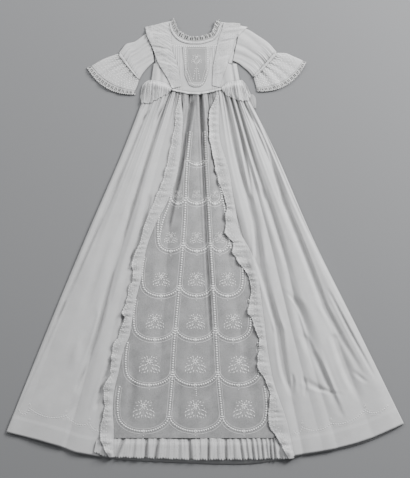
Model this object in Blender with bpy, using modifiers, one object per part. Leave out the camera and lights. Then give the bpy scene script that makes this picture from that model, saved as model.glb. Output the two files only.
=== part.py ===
"""A christening gown of white cotton with whitework embroidery, laid flat on its back.

X runs to the viewer's right, Y from the hem to the neck, and Z up from the surface.
The tables are in millimetres. Across the gown, x is measured from its middle line.
Along it, "down" is the distance below the shoulder end of the neckline.
A crease is a line that runs along the cloth, high on a ridge and low in a valley.
"""

import math
from collections import namedtuple

import bmesh
import bpy
from mathutils import Vector
from mathutils.bvhtree import BVHTree

MM = 0.001

# Sizes of the whole gown
LENGTH = 1009.5
TOP_DOWN = 1.1
WALL = 1.3
GAP = 0.3
FRONT_LAYER = WALL + GAP

# Skirt
UPPER_DOWN = 300.0
MIDDLE_DOWN = 500.0
LOWER_DOWN = 700.0
FRONT_PANEL_FOOT = 949.0
HEM_BAND_RISE = 0.8
GATHER_RISE = 0.9
GATHER_LENGTH = 90.0
SKIRT_ROWS = (0.0, 0.018, 0.045, 0.085, 0.14, 0.21, 0.29, 0.38, 0.47, 0.56, 0.65, 0.74, 0.83, 0.91)
HEM_ROWS = (0.951, 0.956, 1.0)

# Ruffles, frills and lace
ROBING_ROWS = 62
ROBING_COLUMNS = 3
ROBING_WAVES = 21.0
ROBING_WAVE_RISE = 4.5
ROBING_WAVE_SWING = 2.2
ROBING_ARCH = 1.6
FRILL_ROWS = (0.0, 0.35, 0.7, 1.0)
FRILL_PLEATS = 24
FRILL_RISE = 5.0
WAIST_FRILL_COLUMNS = 15
BRETELLE_ROWS = 14
BRETELLE_COLUMNS = 5
BRETELLE_WAVES = 3.0
BAND_WIDTH = 6.0
BAND_COLUMNS = 24
SLEEVE_BAND_SPAN = (0.965, 1.035)
SLEEVE_BAND_COLUMNS = 12
WAISTBAND_WIDTH = 6.0
WAISTBAND_LEFT = -118.0
WAISTBAND_RIGHT = 74.0
WAISTBAND_COLUMNS = 26

# Lace: a bar and a hole make one repeat, and a hole spans part of the lace's width
LACE_BAR = 0.42
LACE_HOLE = 0.58
LACE_HOLE_START = 0.22
LACE_HOLE_END = 0.68
LACE_SCALLOP = 0.14
LACE_END_MARGIN = 0.01
CUFF_LACE_REPEATS = 11
CUFF_LACE_RISE = 0.9
NECK_LACE_REPEATS = 12
NECK_LACE_RISE = 2.6

# How far round each point of a piece the cloth beneath it is felt for
CASING_REACH = 3.0
SLEEVE_BAND_REACH = 5.0
INSET_REACH = 6.0
HEM_FRILL_REACH = 7.5
WAISTBAND_REACH = 9.5
BRETELLE_REACH = 10.0
RUFFLE_REACH = 12.0

# Flattened tubes of the sleeves and cuffs
TUBE_THICKNESS = 3.7
TUBE_WALL = 1.2
SLEEVE_STEPS = (6, 15, 5)
CUFF_STEPS = (4, 18, 6)

Crease = namedtuple("Crease", "waist upper middle lower hem rise_waist rise_middle rise_hem")
Place = namedtuple("Place", "x down")
Strip = namedtuple("Strip", "down sewn free")
Ring = namedtuple("Ring", "top_x top_down low_x low_down bow")
Fold = namedtuple("Fold", "across_start across_end rise_start rise_end")
Shoulder = namedtuple("Shoulder", "outer_x outer_down inner_x inner_down rise")
Neck = namedtuple("Neck", "seam_x seam_down lace_x lace_down")
Frill = namedtuple("Frill", "top_x top_down low_x low_down rise")

LEFT_SIDE = (
    Crease(-126, -185, -271, -354, -449, 0.0, 0.0, 0.0),
    Crease(-121, -180, -265, -347, -438, 3.0, 4.0, 2.0),
    Crease(-112, -171, -254, -333, -420, 0.5, 2.5, 2.0),
    Crease(-97, -147, -224, -301, -378, 6.0, 8.0, 4.0),
    Crease(-80, -129, -190, -249, -326, 4.0, 6.5, 4.0),
    Crease(-76, -124, -183, -240, -316, 0.3, 0.5, 1.5),
    Crease(-70, -113, -168, -226, -292, 5.5, 8.0, 4.0),
    Crease(-65, -100, -153, -207, -262, 1.0, 2.5, 2.0),
    Crease(-59, -69, -139, -183, -238, 2.0, 3.0, 2.0),
)
FRONT_PANEL = (
    Crease(-59, -69, -139, -183, -238, 2.0, 3.0, 2.0),
    Crease(-46, -58, -109, -134, -172, 4.5, 5.5, 3.0),
    Crease(-34, -48, -83, -95, -119, 0.3, 1.0, 2.5),
    Crease(-21, -25, -43, -52, -69, 6.0, 5.0, 3.0),
    Crease(-10, -5, 0, 10, 17, 0.5, 1.0, 2.5),
    Crease(-3, 7, 22, 43, 69, 5.0, 5.0, 3.0),
    Crease(6, 18, 47, 79, 121, 0.5, 2.5, 2.5),
    Crease(18, 28, 86, 122, 185, 2.0, 3.0, 2.0),
)
RIGHT_SIDE = (
    Crease(18, 28, 86, 122, 185, 2.0, 3.0, 2.0),
    Crease(31, 50, 99, 145, 203, 5.5, 8.0, 4.0),
    Crease(43, 69, 117, 162, 222, 0.3, 0.5, 1.5),
    Crease(48, 80, 128, 176, 243, 5.0, 7.0, 4.0),
    Crease(52, 91, 145, 194, 268, 0.3, 3.5, 3.5),
    Crease(57, 97, 158, 206, 284, 5.0, 7.5, 4.0),
    Crease(61, 104, 169, 218, 300, 1.0, 2.5, 2.5),
    Crease(66, 118, 190, 251, 339, 5.0, 9.0, 4.5),
    Crease(71, 135, 211, 285, 381, 0.8, 1.0, 2.0),
    Crease(77, 146, 230, 322, 425, 3.5, 7.0, 3.5),
    Crease(82, 157, 244, 343, 449, 0.0, 0.0, 0.0),
)

# The waist seam dips in the middle, and the side hems rise towards the edges
WAIST_SEAM = (Place(-129, 147), Place(-75, 163), Place(-20, 172), Place(31, 163), Place(99, 147))
LEFT_HEM = (Place(-449, 936), Place(-328, 968), Place(-299, 980), Place(-238, 991))
RIGHT_HEM = (Place(185, 992), Place(203, 989), Place(295, 973), Place(369, 952), Place(449, 917))
BACK_HEM = (
    Place(-449, 936), Place(-328, 968), Place(-299, 980), Place(-240, 991), Place(-150, 1001),
    Place(-50, 1006), Place(65, 1011), Place(130, 1003), Place(203, 989), Place(295, 973),
    Place(369, 952), Place(449, 917),
)
# The back skirt's right edge runs in at the waist, to leave room for the frill's back half
BACK_RIGHT_EDGE = (
    Place(343, 700), Place(244, 500), Place(157, 300), Place(129, 243), Place(110, 213),
    Place(90, 196), Place(80, 172),
)
BACK_LEFT_EDGE = (Place(-131, 172), Place(-185, 300), Place(-271, 500), Place(-354, 700))

# Where each robing is sewn and where its free edge lies
LEFT_ROBING = (
    Strip(184, -54, -67), Strip(231, -50, -67), Strip(270, -52, -74), Strip(316, -57, -83),
    Strip(367, -66, -96), Strip(423, -88, -119), Strip(468, -112, -137), Strip(514, -130, -149),
    Strip(554, -139, -165), Strip(584, -143, -163), Strip(613, -150, -174), Strip(645, -158, -179),
    Strip(663, -161, -187), Strip(674, -163, -182), Strip(717, -170, -197), Strip(751, -184, -211),
    Strip(805, -196, -215), Strip(838, -204, -231), Strip(862, -207, -229), Strip(889, -208, -228),
    Strip(930, -206, -239), Strip(954, -206, -235), Strip(992, -206, -216),
)
RIGHT_ROBING = (
    Strip(184, 31, 11), Strip(231, 31, 9), Strip(270, 33, 10), Strip(322, 47, 20),
    Strip(346, 54, 24), Strip(389, 61, 37), Strip(428, 68, 48), Strip(484, 79, 44),
    Strip(508, 92, 62), Strip(530, 104, 62), Strip(561, 114, 82), Strip(580, 119, 95),
    Strip(611, 124, 103), Strip(661, 130, 97), Strip(690, 134, 108), Strip(735, 139, 122),
    Strip(779, 146, 117), Strip(826, 156, 138), Strip(862, 168, 147), Strip(888, 177, 141),
    Strip(918, 186, 143), Strip(954, 194, 166), Strip(995, 203, 188),
)

# The gathered frill at the foot of the front panel
FRILL_FOOT = (Place(-251, 983), Place(-215, 993), Place(-100, 997), Place(0, 1000), Place(192, 997))
FRILL_LEFT = -244.0
FRILL_RIGHT = 186.0
FRILL_SPREAD = 7.0

# Armhole lines, from the shoulder to the underarm
LEFT_ARMHOLE = (Place(-125, 30), Place(-115, 100))
RIGHT_ARMHOLE = (Place(79, 20), Place(62, 98))

# The shoulders either side of the neckline, and the tucks in the bodice front
LEFT_SHOULDER = (Place(-122, 19), Place(-107, 15), Place(-92, 11))
RIGHT_SHOULDER = (Place(51, 12), Place(66, 12), Place(80, 14))
NECK_STEPS = 16
BODICE_WAIST_LEFT = -124.0
BODICE_WAIST_RIGHT = 79.0
TUCK_COLUMNS = (4, 6, 8, 16, 18, 20)
TUCK_RISE = 1.5
BODICE_ROWS = (0.0, 0.16, 0.33, 0.5, 0.62, 0.66, 0.84, 1.0)
BODICE_SWELL = 2.5
UNDERARM_DOWN = 104.0
LEFT_SIDE_SEAM = -118.5
RIGHT_SIDE_SEAM = 71.0
BODICE_WAIST_X = (BODICE_WAIST_RIGHT, 60, 30, 0, -20, -45, -75, -105, BODICE_WAIST_LEFT)
SKIRT_WAIST_X = (78, 55, 30, 0, -20, -45, -75, -105, -126)

NECKLINE = (
    Neck(-77, 8, -71, 0), Neck(-75, 21, -66, 12), Neck(-67, 37, -61, 25), Neck(-52, 49, -46, 36),
    Neck(-31, 54, -30, 42), Neck(-13, 54, -14, 42), Neck(4, 50, 1, 38), Neck(17, 45, 12, 34),
    Neck(25, 34, 18, 25), Neck(30, 21, 21, 13), Neck(36, 10, 31, 3),
)

# The embroidered plastron: width at the top, and a rounded foot
INSET_TOP = 66.0
INSET_FOOT = 157.0
INSET_LEFT = -51.0
INSET_RIGHT = 14.0
INSET_TAPER = 6.0
INSET_FOOT_ROUND = 26.0
INSET_COLUMNS = 8
INSET_ROWS = 9

LEFT_BRETELLE = (
    Shoulder(-135, 21, -83, 11, 2.5), Shoulder(-131, 41, -78, 32, 2.5),
    Shoulder(-122, 60, -76, 52, 2.0), Shoulder(-114, 80, -75, 72, 2.0),
    Shoulder(-107, 100, -67, 94, 2.0), Shoulder(-94, 122, -61, 114, 1.5),
    Shoulder(-83, 140, -57, 134, 1.2), Shoulder(-74, 160, -54, 156, 0.8),
)
RIGHT_BRETELLE = (
    Shoulder(96, 21, 42, 12, 2.0), Shoulder(80, 36, 37, 30, 2.0),
    Shoulder(66, 54, 31, 46, 2.0), Shoulder(60, 78, 27, 66, 2.0),
    Shoulder(52, 99, 22, 90, 2.0), Shoulder(45, 120, 18, 112, 1.5),
    Shoulder(38, 138, 17, 132, 1.2), Shoulder(33, 158, 16, 154, 0.8),
)

LEFT_SLEEVE = (
    Ring(-125.4, 30, -115.4, 100, 0.0), Ring(-143, 43, -126, 109, 2.0),
    Ring(-161, 55, -137, 121, 3.0), Ring(-177, 59, -144, 131, 3.0),
    Ring(-195, 80, -149, 140, 1.0),
)
LEFT_SLEEVE_FOLDS = (
    Fold(0.18, 0.16, 2.0, 2.5), Fold(0.30, 0.30, 0.6, 0.4), Fold(0.42, 0.42, 3.0, 3.0),
    Fold(0.55, 0.52, 1.0, 0.3), Fold(0.68, 0.64, 3.2, 2.6), Fold(0.80, 0.78, 1.0, 0.5),
    Fold(0.90, 0.90, 1.5, 1.4),
)
RIGHT_SLEEVE = (
    Ring(79.4, 20, 62.4, 98, 0.0), Ring(99, 28, 74, 103, 2.0), Ring(120, 41, 86, 112, 3.0),
    Ring(143, 57, 98, 122, 3.0), Ring(162, 78, 109, 135, 1.0),
)
RIGHT_SLEEVE_FOLDS = (
    Fold(0.15, 0.16, 2.4, 2.0), Fold(0.30, 0.30, 2.6, 0.6), Fold(0.48, 0.45, 3.4, 2.8),
    Fold(0.62, 0.58, 2.4, 0.5), Fold(0.76, 0.74, 3.0, 2.6), Fold(0.90, 0.90, 1.2, 1.0),
)
LEFT_CUFF = (
    Ring(-196, 81.5, -149.5, 141.5, 1.0), Ring(-213, 87, -151.5, 149, 5.0),
    Ring(-235, 96, -154.5, 157, 9.0), Ring(-257, 109, -158, 165, 13.0),
)
LEFT_CUFF_FOLDS = (
    Fold(0.12, 0.10, 2.0, 2.0), Fold(0.30, 0.24, 0.4, 0.8), Fold(0.42, 0.38, 2.6, 4.2),
    Fold(0.52, 0.50, 0.2, 0.4), Fold(0.62, 0.62, 2.6, 4.6), Fold(0.74, 0.76, 0.5, 0.8),
    Fold(0.88, 0.90, 1.8, 2.2),
)
RIGHT_CUFF = (
    Ring(162.6, 79.5, 109.6, 136.5, 1.0), Ring(180, 80, 111.5, 144, 7.0),
    Ring(201, 88, 113.5, 151, 12.0), Ring(221, 97, 115, 158, 18.0),
)
RIGHT_CUFF_FOLDS = (
    Fold(0.12, 0.10, 1.6, 2.0), Fold(0.28, 0.26, 0.6, 1.0), Fold(0.42, 0.42, 2.6, 4.0),
    Fold(0.56, 0.58, 0.3, 0.6), Fold(0.70, 0.72, 2.8, 4.4), Fold(0.82, 0.84, 0.6, 0.8),
    Fold(0.92, 0.93, 1.4, 2.0),
)
LEFT_CUFF_LACE = (Ring(-257.3, 109.3, -158.1, 165.4, 13.0), Ring(-268, 112, -155, 174, 20.5))
RIGHT_CUFF_LACE = (Ring(221.3, 97.3, 115.1, 158.4, 18.0), Ring(230, 99, 116, 167, 23.0))

LEFT_WAIST_FRILL = (
    Frill(-74, 157, -80, 172, 1.0), Frill(-90, 148, -94, 178, 3.0), Frill(-107, 143, -110, 186, 4.0),
    Frill(-123, 141, -127, 194, 3.0), Frill(-134, 145, -142, 195, 5.0),
    Frill(-141, 152, -147, 178, 2.0),
)
RIGHT_WAIST_FRILL = (
    Frill(37, 157, 42, 172, 1.0), Frill(52, 146, 57, 180, 3.0), Frill(68, 143, 75, 188, 4.0),
    Frill(82, 141, 93, 190, 3.0), Frill(89, 147, 101, 184, 5.0), Frill(95, 155, 103, 175, 2.0),
)
BACK_FRILL = (
    Place(91, 173), Place(108, 173.5), Place(113.5, 180), Place(115.5, 193), Place(115, 206),
    Place(109, 205), Place(98, 195),
)

# Linen-white shades, as linear red, green and blue
PLAIN_CLOTH = (0.70, 0.70, 0.70)
EMBROIDERED_CLOTH = (0.66, 0.66, 0.665)
LACE_THREAD = (0.72, 0.72, 0.71)
BACK_CLOTH = (0.60, 0.60, 0.605)
CLOTH_ROUGHNESS = 0.85


def clear_scene():
    """Remove whatever the scene holds."""
    for thing in list(bpy.data.objects):
        bpy.data.objects.remove(thing, do_unlink=True)


def spot(x, down, height):
    """Point in metres, from x, down and height in millimetres."""
    return Vector((x * MM, (TOP_DOWN + LENGTH / 2 - down) * MM, height * MM))


def mix(a, b, share):
    """Value between a and b."""
    return a + (b - a) * share


def slope_at(knots, values, k):
    """Slope of the smooth curve at one knot, flat at a peak or a dip."""
    last = len(knots) - 1
    if k == 0:
        return (values[1] - values[0]) / (knots[1] - knots[0])
    if k == last:
        return (values[last] - values[last - 1]) / (knots[last] - knots[last - 1])
    before = (values[k] - values[k - 1]) / (knots[k] - knots[k - 1])
    after = (values[k + 1] - values[k]) / (knots[k + 1] - knots[k])
    if before * after <= 0:
        return 0.0
    return 2 * before * after / (before + after)


def through(knots, values, at):
    """Value at a place along the knots, on a smooth curve through the values."""
    last = len(knots) - 1
    if at <= knots[0]:
        return values[0] + slope_at(knots, values, 0) * (at - knots[0])
    if at >= knots[last]:
        return values[last] + slope_at(knots, values, last) * (at - knots[last])
    k = max(i for i in range(last) if knots[i] <= at)
    span = knots[k + 1] - knots[k]
    t = (at - knots[k]) / span
    start = values[k] * (1 + 2 * t) * (1 - t) ** 2 + values[k + 1] * t * t * (3 - 2 * t)
    lean_out = slope_at(knots, values, k) * span * t * (1 - t) ** 2
    lean_in = slope_at(knots, values, k + 1) * span * t * t * (t - 1)
    return start + lean_out + lean_in


def line_down(places, x):
    """How far down a seam or hem runs at x."""
    return through([p.x for p in places], [p.down for p in places], x)


def column_of(rows, name):
    """One named column of a table."""
    return [getattr(row, name) for row in rows]


def at_share(rows, name, share):
    """Value of a named column, a share of the way along the table's rows."""
    values = column_of(rows, name)
    return through(list(range(len(values))), values, share * (len(values) - 1))


NECK_KNOTS = [
    Place(at_share(NECKLINE, "seam_x", k / NECK_STEPS), at_share(NECKLINE, "seam_down", k / NECK_STEPS))
    for k in range(NECK_STEPS + 1)
]


class Gown:
    """The collection of pieces, and the surfaces already laid."""

    def __init__(self, name):
        self.collection = bpy.data.collections.new(name)
        bpy.context.scene.collection.children.link(self.collection)
        self.laid = []

    def add(self, name, mesh, colour):
        """Make an object of the mesh, with its own material, and lay it."""
        material = bpy.data.materials.new(name + "_cloth")
        material.use_nodes = True
        shader = material.node_tree.nodes["Principled BSDF"]
        shader.inputs["Base Color"].default_value = (*colour, 1.0)
        shader.inputs["Roughness"].default_value = CLOTH_ROUGHNESS
        shader.inputs["Metallic"].default_value = 0.0
        mesh.materials.append(material)
        piece = bpy.data.objects.new(name, mesh)
        self.collection.objects.link(piece)
        points = [vertex.co.copy() for vertex in mesh.vertices]
        faces = [tuple(face.vertices) for face in mesh.polygons]
        self.laid.append(BVHTree.FromPolygons(points, faces))
        return piece

    def height(self, x, down, reach):
        """Top of the cloth already laid, the highest within reach of a place."""
        highest = 0.0
        for dx, dy in around(reach):
            start = spot(x + dx, down + dy, 100.0)
            for tree in self.laid:
                hit = tree.ray_cast(start, Vector((0, 0, -1)))[0]
                if hit is not None:
                    highest = max(highest, hit.z / MM)
        return highest


def around(reach):
    """A place and three rings of places round it."""
    places = [(0.0, 0.0)]
    for share in (0.33, 0.67, 1.0):
        for turn in range(12):
            angle = math.tau * (turn + share) / 12
            places.append((reach * share * math.cos(angle), reach * share * math.sin(angle)))
    return places


def thicken(name, surface, wall):
    """Give an open surface its wall, straight up, and return the closed mesh."""
    bmesh.ops.triangulate(surface, faces=surface.faces[:], quad_method="FIXED")
    raised = bmesh.ops.extrude_face_region(surface, geom=surface.faces[:])["geom"]
    corners = [item for item in raised if isinstance(item, bmesh.types.BMVert)]
    bmesh.ops.translate(surface, vec=Vector((0, 0, wall * MM)), verts=corners)
    bmesh.ops.recalc_face_normals(surface, faces=surface.faces[:])
    mesh = bpy.data.meshes.new(name)
    surface.to_mesh(mesh)
    surface.free()
    return mesh


def cloth_mesh(name, grid, wall=WALL, holes=()):
    """Closed cloth whose underside runs through a grid of points, less some cells."""
    surface = bmesh.new()
    points = [[surface.verts.new(point) for point in row] for row in grid]
    for i in range(len(grid) - 1):
        for j in range(len(grid[0]) - 1):
            if (i, j) not in holes:
                surface.faces.new((points[i][j], points[i][j + 1], points[i + 1][j + 1], points[i + 1][j]))
    return thicken(name, surface, wall)


def flat_mesh(name, outline, height=0.0):
    """Closed flat cloth inside an outline of places."""
    surface = bmesh.new()
    surface.faces.new([surface.verts.new(spot(p.x, p.down, height)) for p in outline])
    return thicken(name, surface, WALL)


def laid_grid(gown, places, reach):
    """Points that lie over the cloth below, from rows of (x, down, rise)."""
    return [
        [spot(x, down, gown.height(x, down, reach) + GAP + rise) for x, down, rise in row]
        for row in places
    ]


def make_back(gown):
    """The back of the skirt and of the bodice, flat on the surface."""
    hem = [Place(x, line_down(BACK_HEM, x)) for x in range(-440, 441, 40)]
    corners = [BACK_HEM[0], *hem, BACK_HEM[-1]]
    waist = [Place(x, line_down(WAIST_SEAM, x) + GAP) for x in SKIRT_WAIST_X]
    outline = [*corners, *BACK_RIGHT_EDGE[:-1], *waist, *BACK_LEFT_EDGE[1:]]
    gown.add("skirt_back", flat_mesh("skirt_back", outline), BACK_CLOTH)

    shoulders = [*LEFT_SHOULDER, *NECK_KNOTS, *RIGHT_SHOULDER]
    right_side = [RIGHT_ARMHOLE[0], RIGHT_ARMHOLE[1], Place(RIGHT_SIDE_SEAM, UNDERARM_DOWN)]
    left_side = [Place(LEFT_SIDE_SEAM, UNDERARM_DOWN), LEFT_ARMHOLE[1], LEFT_ARMHOLE[0]]
    waist_up = [Place(x, line_down(WAIST_SEAM, x) - GAP) for x in BODICE_WAIST_X]
    outline = shoulders + right_side + waist_up + left_side
    gown.add("bodice_back", flat_mesh("bodice_back", outline), BACK_CLOTH)


def skirt_panel(creases, steps, hem, rows, left_trim, right_trim, lowest):
    """Rows of points of one front panel, from its creases, cut off at the lowest place."""
    grid = []
    for v in rows:
        xs, downs, rises = [], [], []
        for crease in creases:
            top = line_down(WAIST_SEAM, crease.waist) + GAP / 2
            foot = line_down(hem, crease.hem)
            down = min(mix(top, foot, v), lowest)
            run = (top, UPPER_DOWN, MIDDLE_DOWN, LOWER_DOWN, foot)
            xs.append(through(run, crease[:5], down))
            rises.append(through((top, MIDDLE_DOWN, foot), crease[5:], down))
            downs.append(down)
        xs[0] += left_trim
        xs[-1] -= right_trim
        grid.append(panel_row(xs, downs, rises, steps, v >= HEM_ROWS[1]))
    return grid


def panel_row(xs, downs, rises, steps, on_band):
    """One row of a panel, with the waist's gathers and the hem band's step."""
    order = list(range(len(xs)))
    row = []
    for step in range((len(xs) - 1) * steps + 1):
        at = step / steps
        k = min(int(at), len(xs) - 2)
        x = mix(xs[k], xs[k + 1], at - k)
        down = mix(downs[k], downs[k + 1], at - k)
        fade = max(0.0, 1 - (down - line_down(WAIST_SEAM, x)) / GATHER_LENGTH) ** 2
        gather = GATHER_RISE * fade * (1 if step % 2 else -1) + GATHER_RISE * fade
        rise = max(0.0, through(order, rises, at)) + gather
        if on_band:
            rise += HEM_BAND_RISE
        row.append(spot(x, down, FRONT_LAYER + rise))
    return row


def make_skirt_front(gown):
    """The two plain side panels and the embroidered front panel."""
    half_gap = GAP / 2
    side_rows = SKIRT_ROWS + HEM_ROWS
    grid = skirt_panel(LEFT_SIDE, 2, LEFT_HEM, side_rows, 0.0, half_gap, LENGTH)
    gown.add("skirt_side_left", cloth_mesh("skirt_side_left", grid), PLAIN_CLOTH)
    grid = skirt_panel(RIGHT_SIDE, 2, RIGHT_HEM, side_rows, half_gap, 0.0, LENGTH)
    gown.add("skirt_side_right", cloth_mesh("skirt_side_right", grid), PLAIN_CLOTH)
    front_foot = (LEFT_HEM[-1], RIGHT_HEM[0])
    front_rows = SKIRT_ROWS + HEM_ROWS[:1]
    grid = skirt_panel(FRONT_PANEL, 3, front_foot, front_rows, half_gap, half_gap, FRONT_PANEL_FOOT)
    gown.add("skirt_front_panel", cloth_mesh("skirt_front_panel", grid), EMBROIDERED_CLOTH)


def armhole_x(line, down):
    """Where the armhole line runs at a height."""
    share = (down - line[0].down) / (line[1].down - line[0].down)
    return mix(line[0].x, line[1].x, share)


def bodice_edges(down):
    """The bodice's left and right edges at a height."""
    if down < UNDERARM_DOWN:
        return armhole_x(LEFT_ARMHOLE, down) + 2 * GAP, armhole_x(RIGHT_ARMHOLE, down) - 2 * GAP
    share = (down - UNDERARM_DOWN) / (line_down(WAIST_SEAM, BODICE_WAIST_LEFT) - UNDERARM_DOWN)
    return mix(LEFT_SIDE_SEAM, BODICE_WAIST_LEFT, share), mix(RIGHT_SIDE_SEAM, BODICE_WAIST_RIGHT, share)


def edge_share(place):
    """How far across the bodice a place lies, from its left edge to its right."""
    left, right = bodice_edges(place.down)
    return min(1.0, max(0.0, (place.x - left) / (right - left)))


def make_bodice(gown):
    """The bodice front with its tucks, over the back."""
    tops = [*LEFT_SHOULDER, *NECK_KNOTS, *RIGHT_SHOULDER]
    last = len(tops) - 1
    grid = []
    for v in BODICE_ROWS:
        row = []
        for k, top in enumerate(tops):
            waist_share = (k / last + edge_share(top)) / 2
            waist_x = mix(BODICE_WAIST_LEFT, BODICE_WAIST_RIGHT, waist_share)
            down = mix(top.down, line_down(WAIST_SEAM, waist_x) - GAP, v)
            x = mix(*bodice_edges(down), mix(edge_share(top), waist_share, v))
            swell = BODICE_SWELL * math.sin(math.pi * min(v + 0.1, 1.0)) * math.sin(math.pi * k / last)
            tuck = TUCK_RISE * min(1.0, 0.3 + v) if k in TUCK_COLUMNS else 0.0
            row.append(spot(x, down, FRONT_LAYER + swell + tuck))
        grid.append(row)
    gown.add("bodice_front", cloth_mesh("bodice_front", grid), PLAIN_CLOTH)


def make_inset(gown):
    """The embroidered plastron, raised on the bodice front."""
    places = []
    for i in range(INSET_ROWS + 1):
        v = i / INSET_ROWS
        row = []
        for j in range(INSET_COLUMNS + 1):
            u = j / INSET_COLUMNS
            left = INSET_LEFT + INSET_TAPER * v
            right = INSET_RIGHT - INSET_TAPER * v * 1.5
            side = abs(2 * u - 1)
            foot = INSET_FOOT - INSET_FOOT_ROUND * side ** 3
            row.append((mix(left, right, u), mix(INSET_TOP, foot, v), 0.0))
        places.append(row)
    grid = laid_grid(gown, places, INSET_REACH)
    gown.add("bodice_inset", cloth_mesh("bodice_inset", grid), EMBROIDERED_CLOTH)


def neck_places(share):
    """The neckline's seam and the lace's edge, a share of the way round the neck."""
    at = share * NECK_STEPS
    k = min(int(at), NECK_STEPS - 1)
    seam = Vector(NECK_KNOTS[k]).lerp(Vector(NECK_KNOTS[k + 1]), at - k)
    edge = Vector((at_share(NECKLINE, "lace_x", share), at_share(NECKLINE, "lace_down", share)))
    return seam, edge


def lace_mesh(name, inner, outer, repeats, height_at):
    """Cut lace between two edges: a hole in each repeat, and a scallop for every two."""
    columns = 2 * repeats + 1
    shares = (0.0, LACE_HOLE_START, LACE_HOLE_END, 1.0)
    grid = []
    for i, f in enumerate(shares):
        row = []
        for j in range(columns + 1):
            u = lace_share(j, repeats)
            notch = LACE_SCALLOP if i == 3 and j % 4 < 2 else 0.0
            reach = f - notch
            x, down = inner(u).lerp(outer(u), reach)
            row.append(spot(x, down, height_at(u, f)))
        grid.append(row)
    holes = {(1, j) for j in range(1, columns, 2)}
    return cloth_mesh(name, grid, WALL, holes)


def lace_share(j, repeats):
    """Where the j-th bar edge lies along the lace: narrow bars and wide holes."""
    repeat = LACE_BAR + LACE_HOLE
    start = (j // 2) * repeat
    return (start + (LACE_BAR if j % 2 else 0.0)) / (repeats * repeat + LACE_BAR)


def make_neck(gown):
    """The narrow band round the neckline and the lace that stands from it."""
    def sewn_edge(u):
        seam, edge = neck_places(u)
        return seam + (edge - seam).normalized() * GAP

    def free_edge(u):
        return neck_places(u)[1]

    def front_height(u, f):
        wave = 0.5 + 0.5 * math.sin(math.tau * (NECK_LACE_REPEATS / 2 * u + 0.1))
        return FRONT_LAYER + NECK_LACE_RISE * f * wave

    back = lace_mesh("neck_lace_back", sewn_edge, free_edge, NECK_LACE_REPEATS, lambda u, f: 0.0)
    gown.add("neck_lace_back", back, LACE_THREAD)
    front = lace_mesh("neck_lace_front", sewn_edge, free_edge, NECK_LACE_REPEATS, front_height)
    gown.add("neck_lace_front", front, LACE_THREAD)


def make_neck_band(gown):
    """The narrow casing on the bodice's neckline."""
    places = []
    for inward in (0.0, 0.5, 1.0):
        row = []
        for j in range(BAND_COLUMNS + 1):
            seam, edge = neck_places(mix(0.02, 0.98, j / BAND_COLUMNS))
            away = (seam - edge).normalized()
            place = seam + away * mix(0.5, BAND_WIDTH, inward)
            row.append((place.x, place.y, 0.0))
        places.append(row)
    grid = laid_grid(gown, places, CASING_REACH)
    gown.add("neck_band", cloth_mesh("neck_band", grid), EMBROIDERED_CLOTH)


def ring_place(rings, along, across, side):
    """Place on a flattened tube, some way along it and across it."""
    top = Vector((at_share(rings, "top_x", along), at_share(rings, "top_down", along)))
    low = Vector((at_share(rings, "low_x", along), at_share(rings, "low_down", along)))
    run = (low - top).normalized()
    outward = Vector((run.y, -run.x)) * side
    bow = at_share(rings, "bow", along) * 4 * across * (1 - across)
    return top.lerp(low, across) + outward * bow


def fold_rise(folds, along, across):
    """Height of the folds over a flattened tube's plain top."""
    knots = [0.0, *[mix(f.across_start, f.across_end, along) for f in folds], 1.0]
    rises = [0.0, *[mix(f.rise_start, f.rise_end, along) for f in folds], 0.0]
    return max(0.0, through(knots, rises, across))


def tube_mesh(name, rings, folds, side, steps):
    """A flattened tube of cloth, open at both ends, with folds on its upper layer."""
    rows, top_steps, low_steps = steps
    surface = bmesh.new()
    grid = []
    for i in range(rows + 1):
        along = i / rows
        ring = []
        for j in range(top_steps + 1):
            across = j / top_steps
            place = ring_place(rings, along, across, side)
            on_edge = j in (0, top_steps)
            height = TUBE_THICKNESS + fold_rise(folds, along, across)
            ring.append(spot(place.x, place.y, TUBE_THICKNESS / 2 if on_edge else height))
        for j in range(low_steps - 1, 0, -1):
            across = j / low_steps
            place = ring_place(rings, along, across, side)
            ring.append(spot(place.x, place.y, 0.0))
        grid.append([surface.verts.new(point) for point in ring])
    count = len(grid[0])
    for i in range(rows):
        for j in range(count):
            k = (j + 1) % count
            surface.faces.new((grid[i][j], grid[i][k], grid[i + 1][k], grid[i + 1][j]))
    bmesh.ops.recalc_face_normals(surface, faces=surface.faces[:])
    bmesh.ops.triangulate(surface, faces=surface.faces[:], quad_method="FIXED")
    mesh = bpy.data.meshes.new(name)
    surface.to_mesh(mesh)
    surface.free()
    return mesh


def add_tube(gown, name, mesh, colour):
    """Add a tube, with its wall from a Solidify that grows inwards."""
    piece = gown.add(name, mesh, colour)
    shell = piece.modifiers.new("cloth wall", "SOLIDIFY")
    shell.thickness = TUBE_WALL * MM
    shell.offset = -1.0
    return piece


def make_sleeves(gown):
    """Sleeves, cuffs and the cut lace round each cuff."""
    sides = (
        ("left", -1, LEFT_SLEEVE, LEFT_SLEEVE_FOLDS, LEFT_CUFF, LEFT_CUFF_FOLDS, LEFT_CUFF_LACE),
        ("right", 1, RIGHT_SLEEVE, RIGHT_SLEEVE_FOLDS, RIGHT_CUFF, RIGHT_CUFF_FOLDS, RIGHT_CUFF_LACE),
    )
    for word, side, sleeve, sleeve_folds, cuff, cuff_folds, lace in sides:
        mesh = tube_mesh("sleeve_" + word, sleeve, sleeve_folds, side, SLEEVE_STEPS)
        add_tube(gown, "sleeve_" + word, mesh, PLAIN_CLOTH)
        mesh = tube_mesh("cuff_" + word, cuff, cuff_folds, side, CUFF_STEPS)
        add_tube(gown, "cuff_" + word, mesh, EMBROIDERED_CLOTH)
        make_cuff_lace(gown, word, side, lace, cuff_folds)


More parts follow.
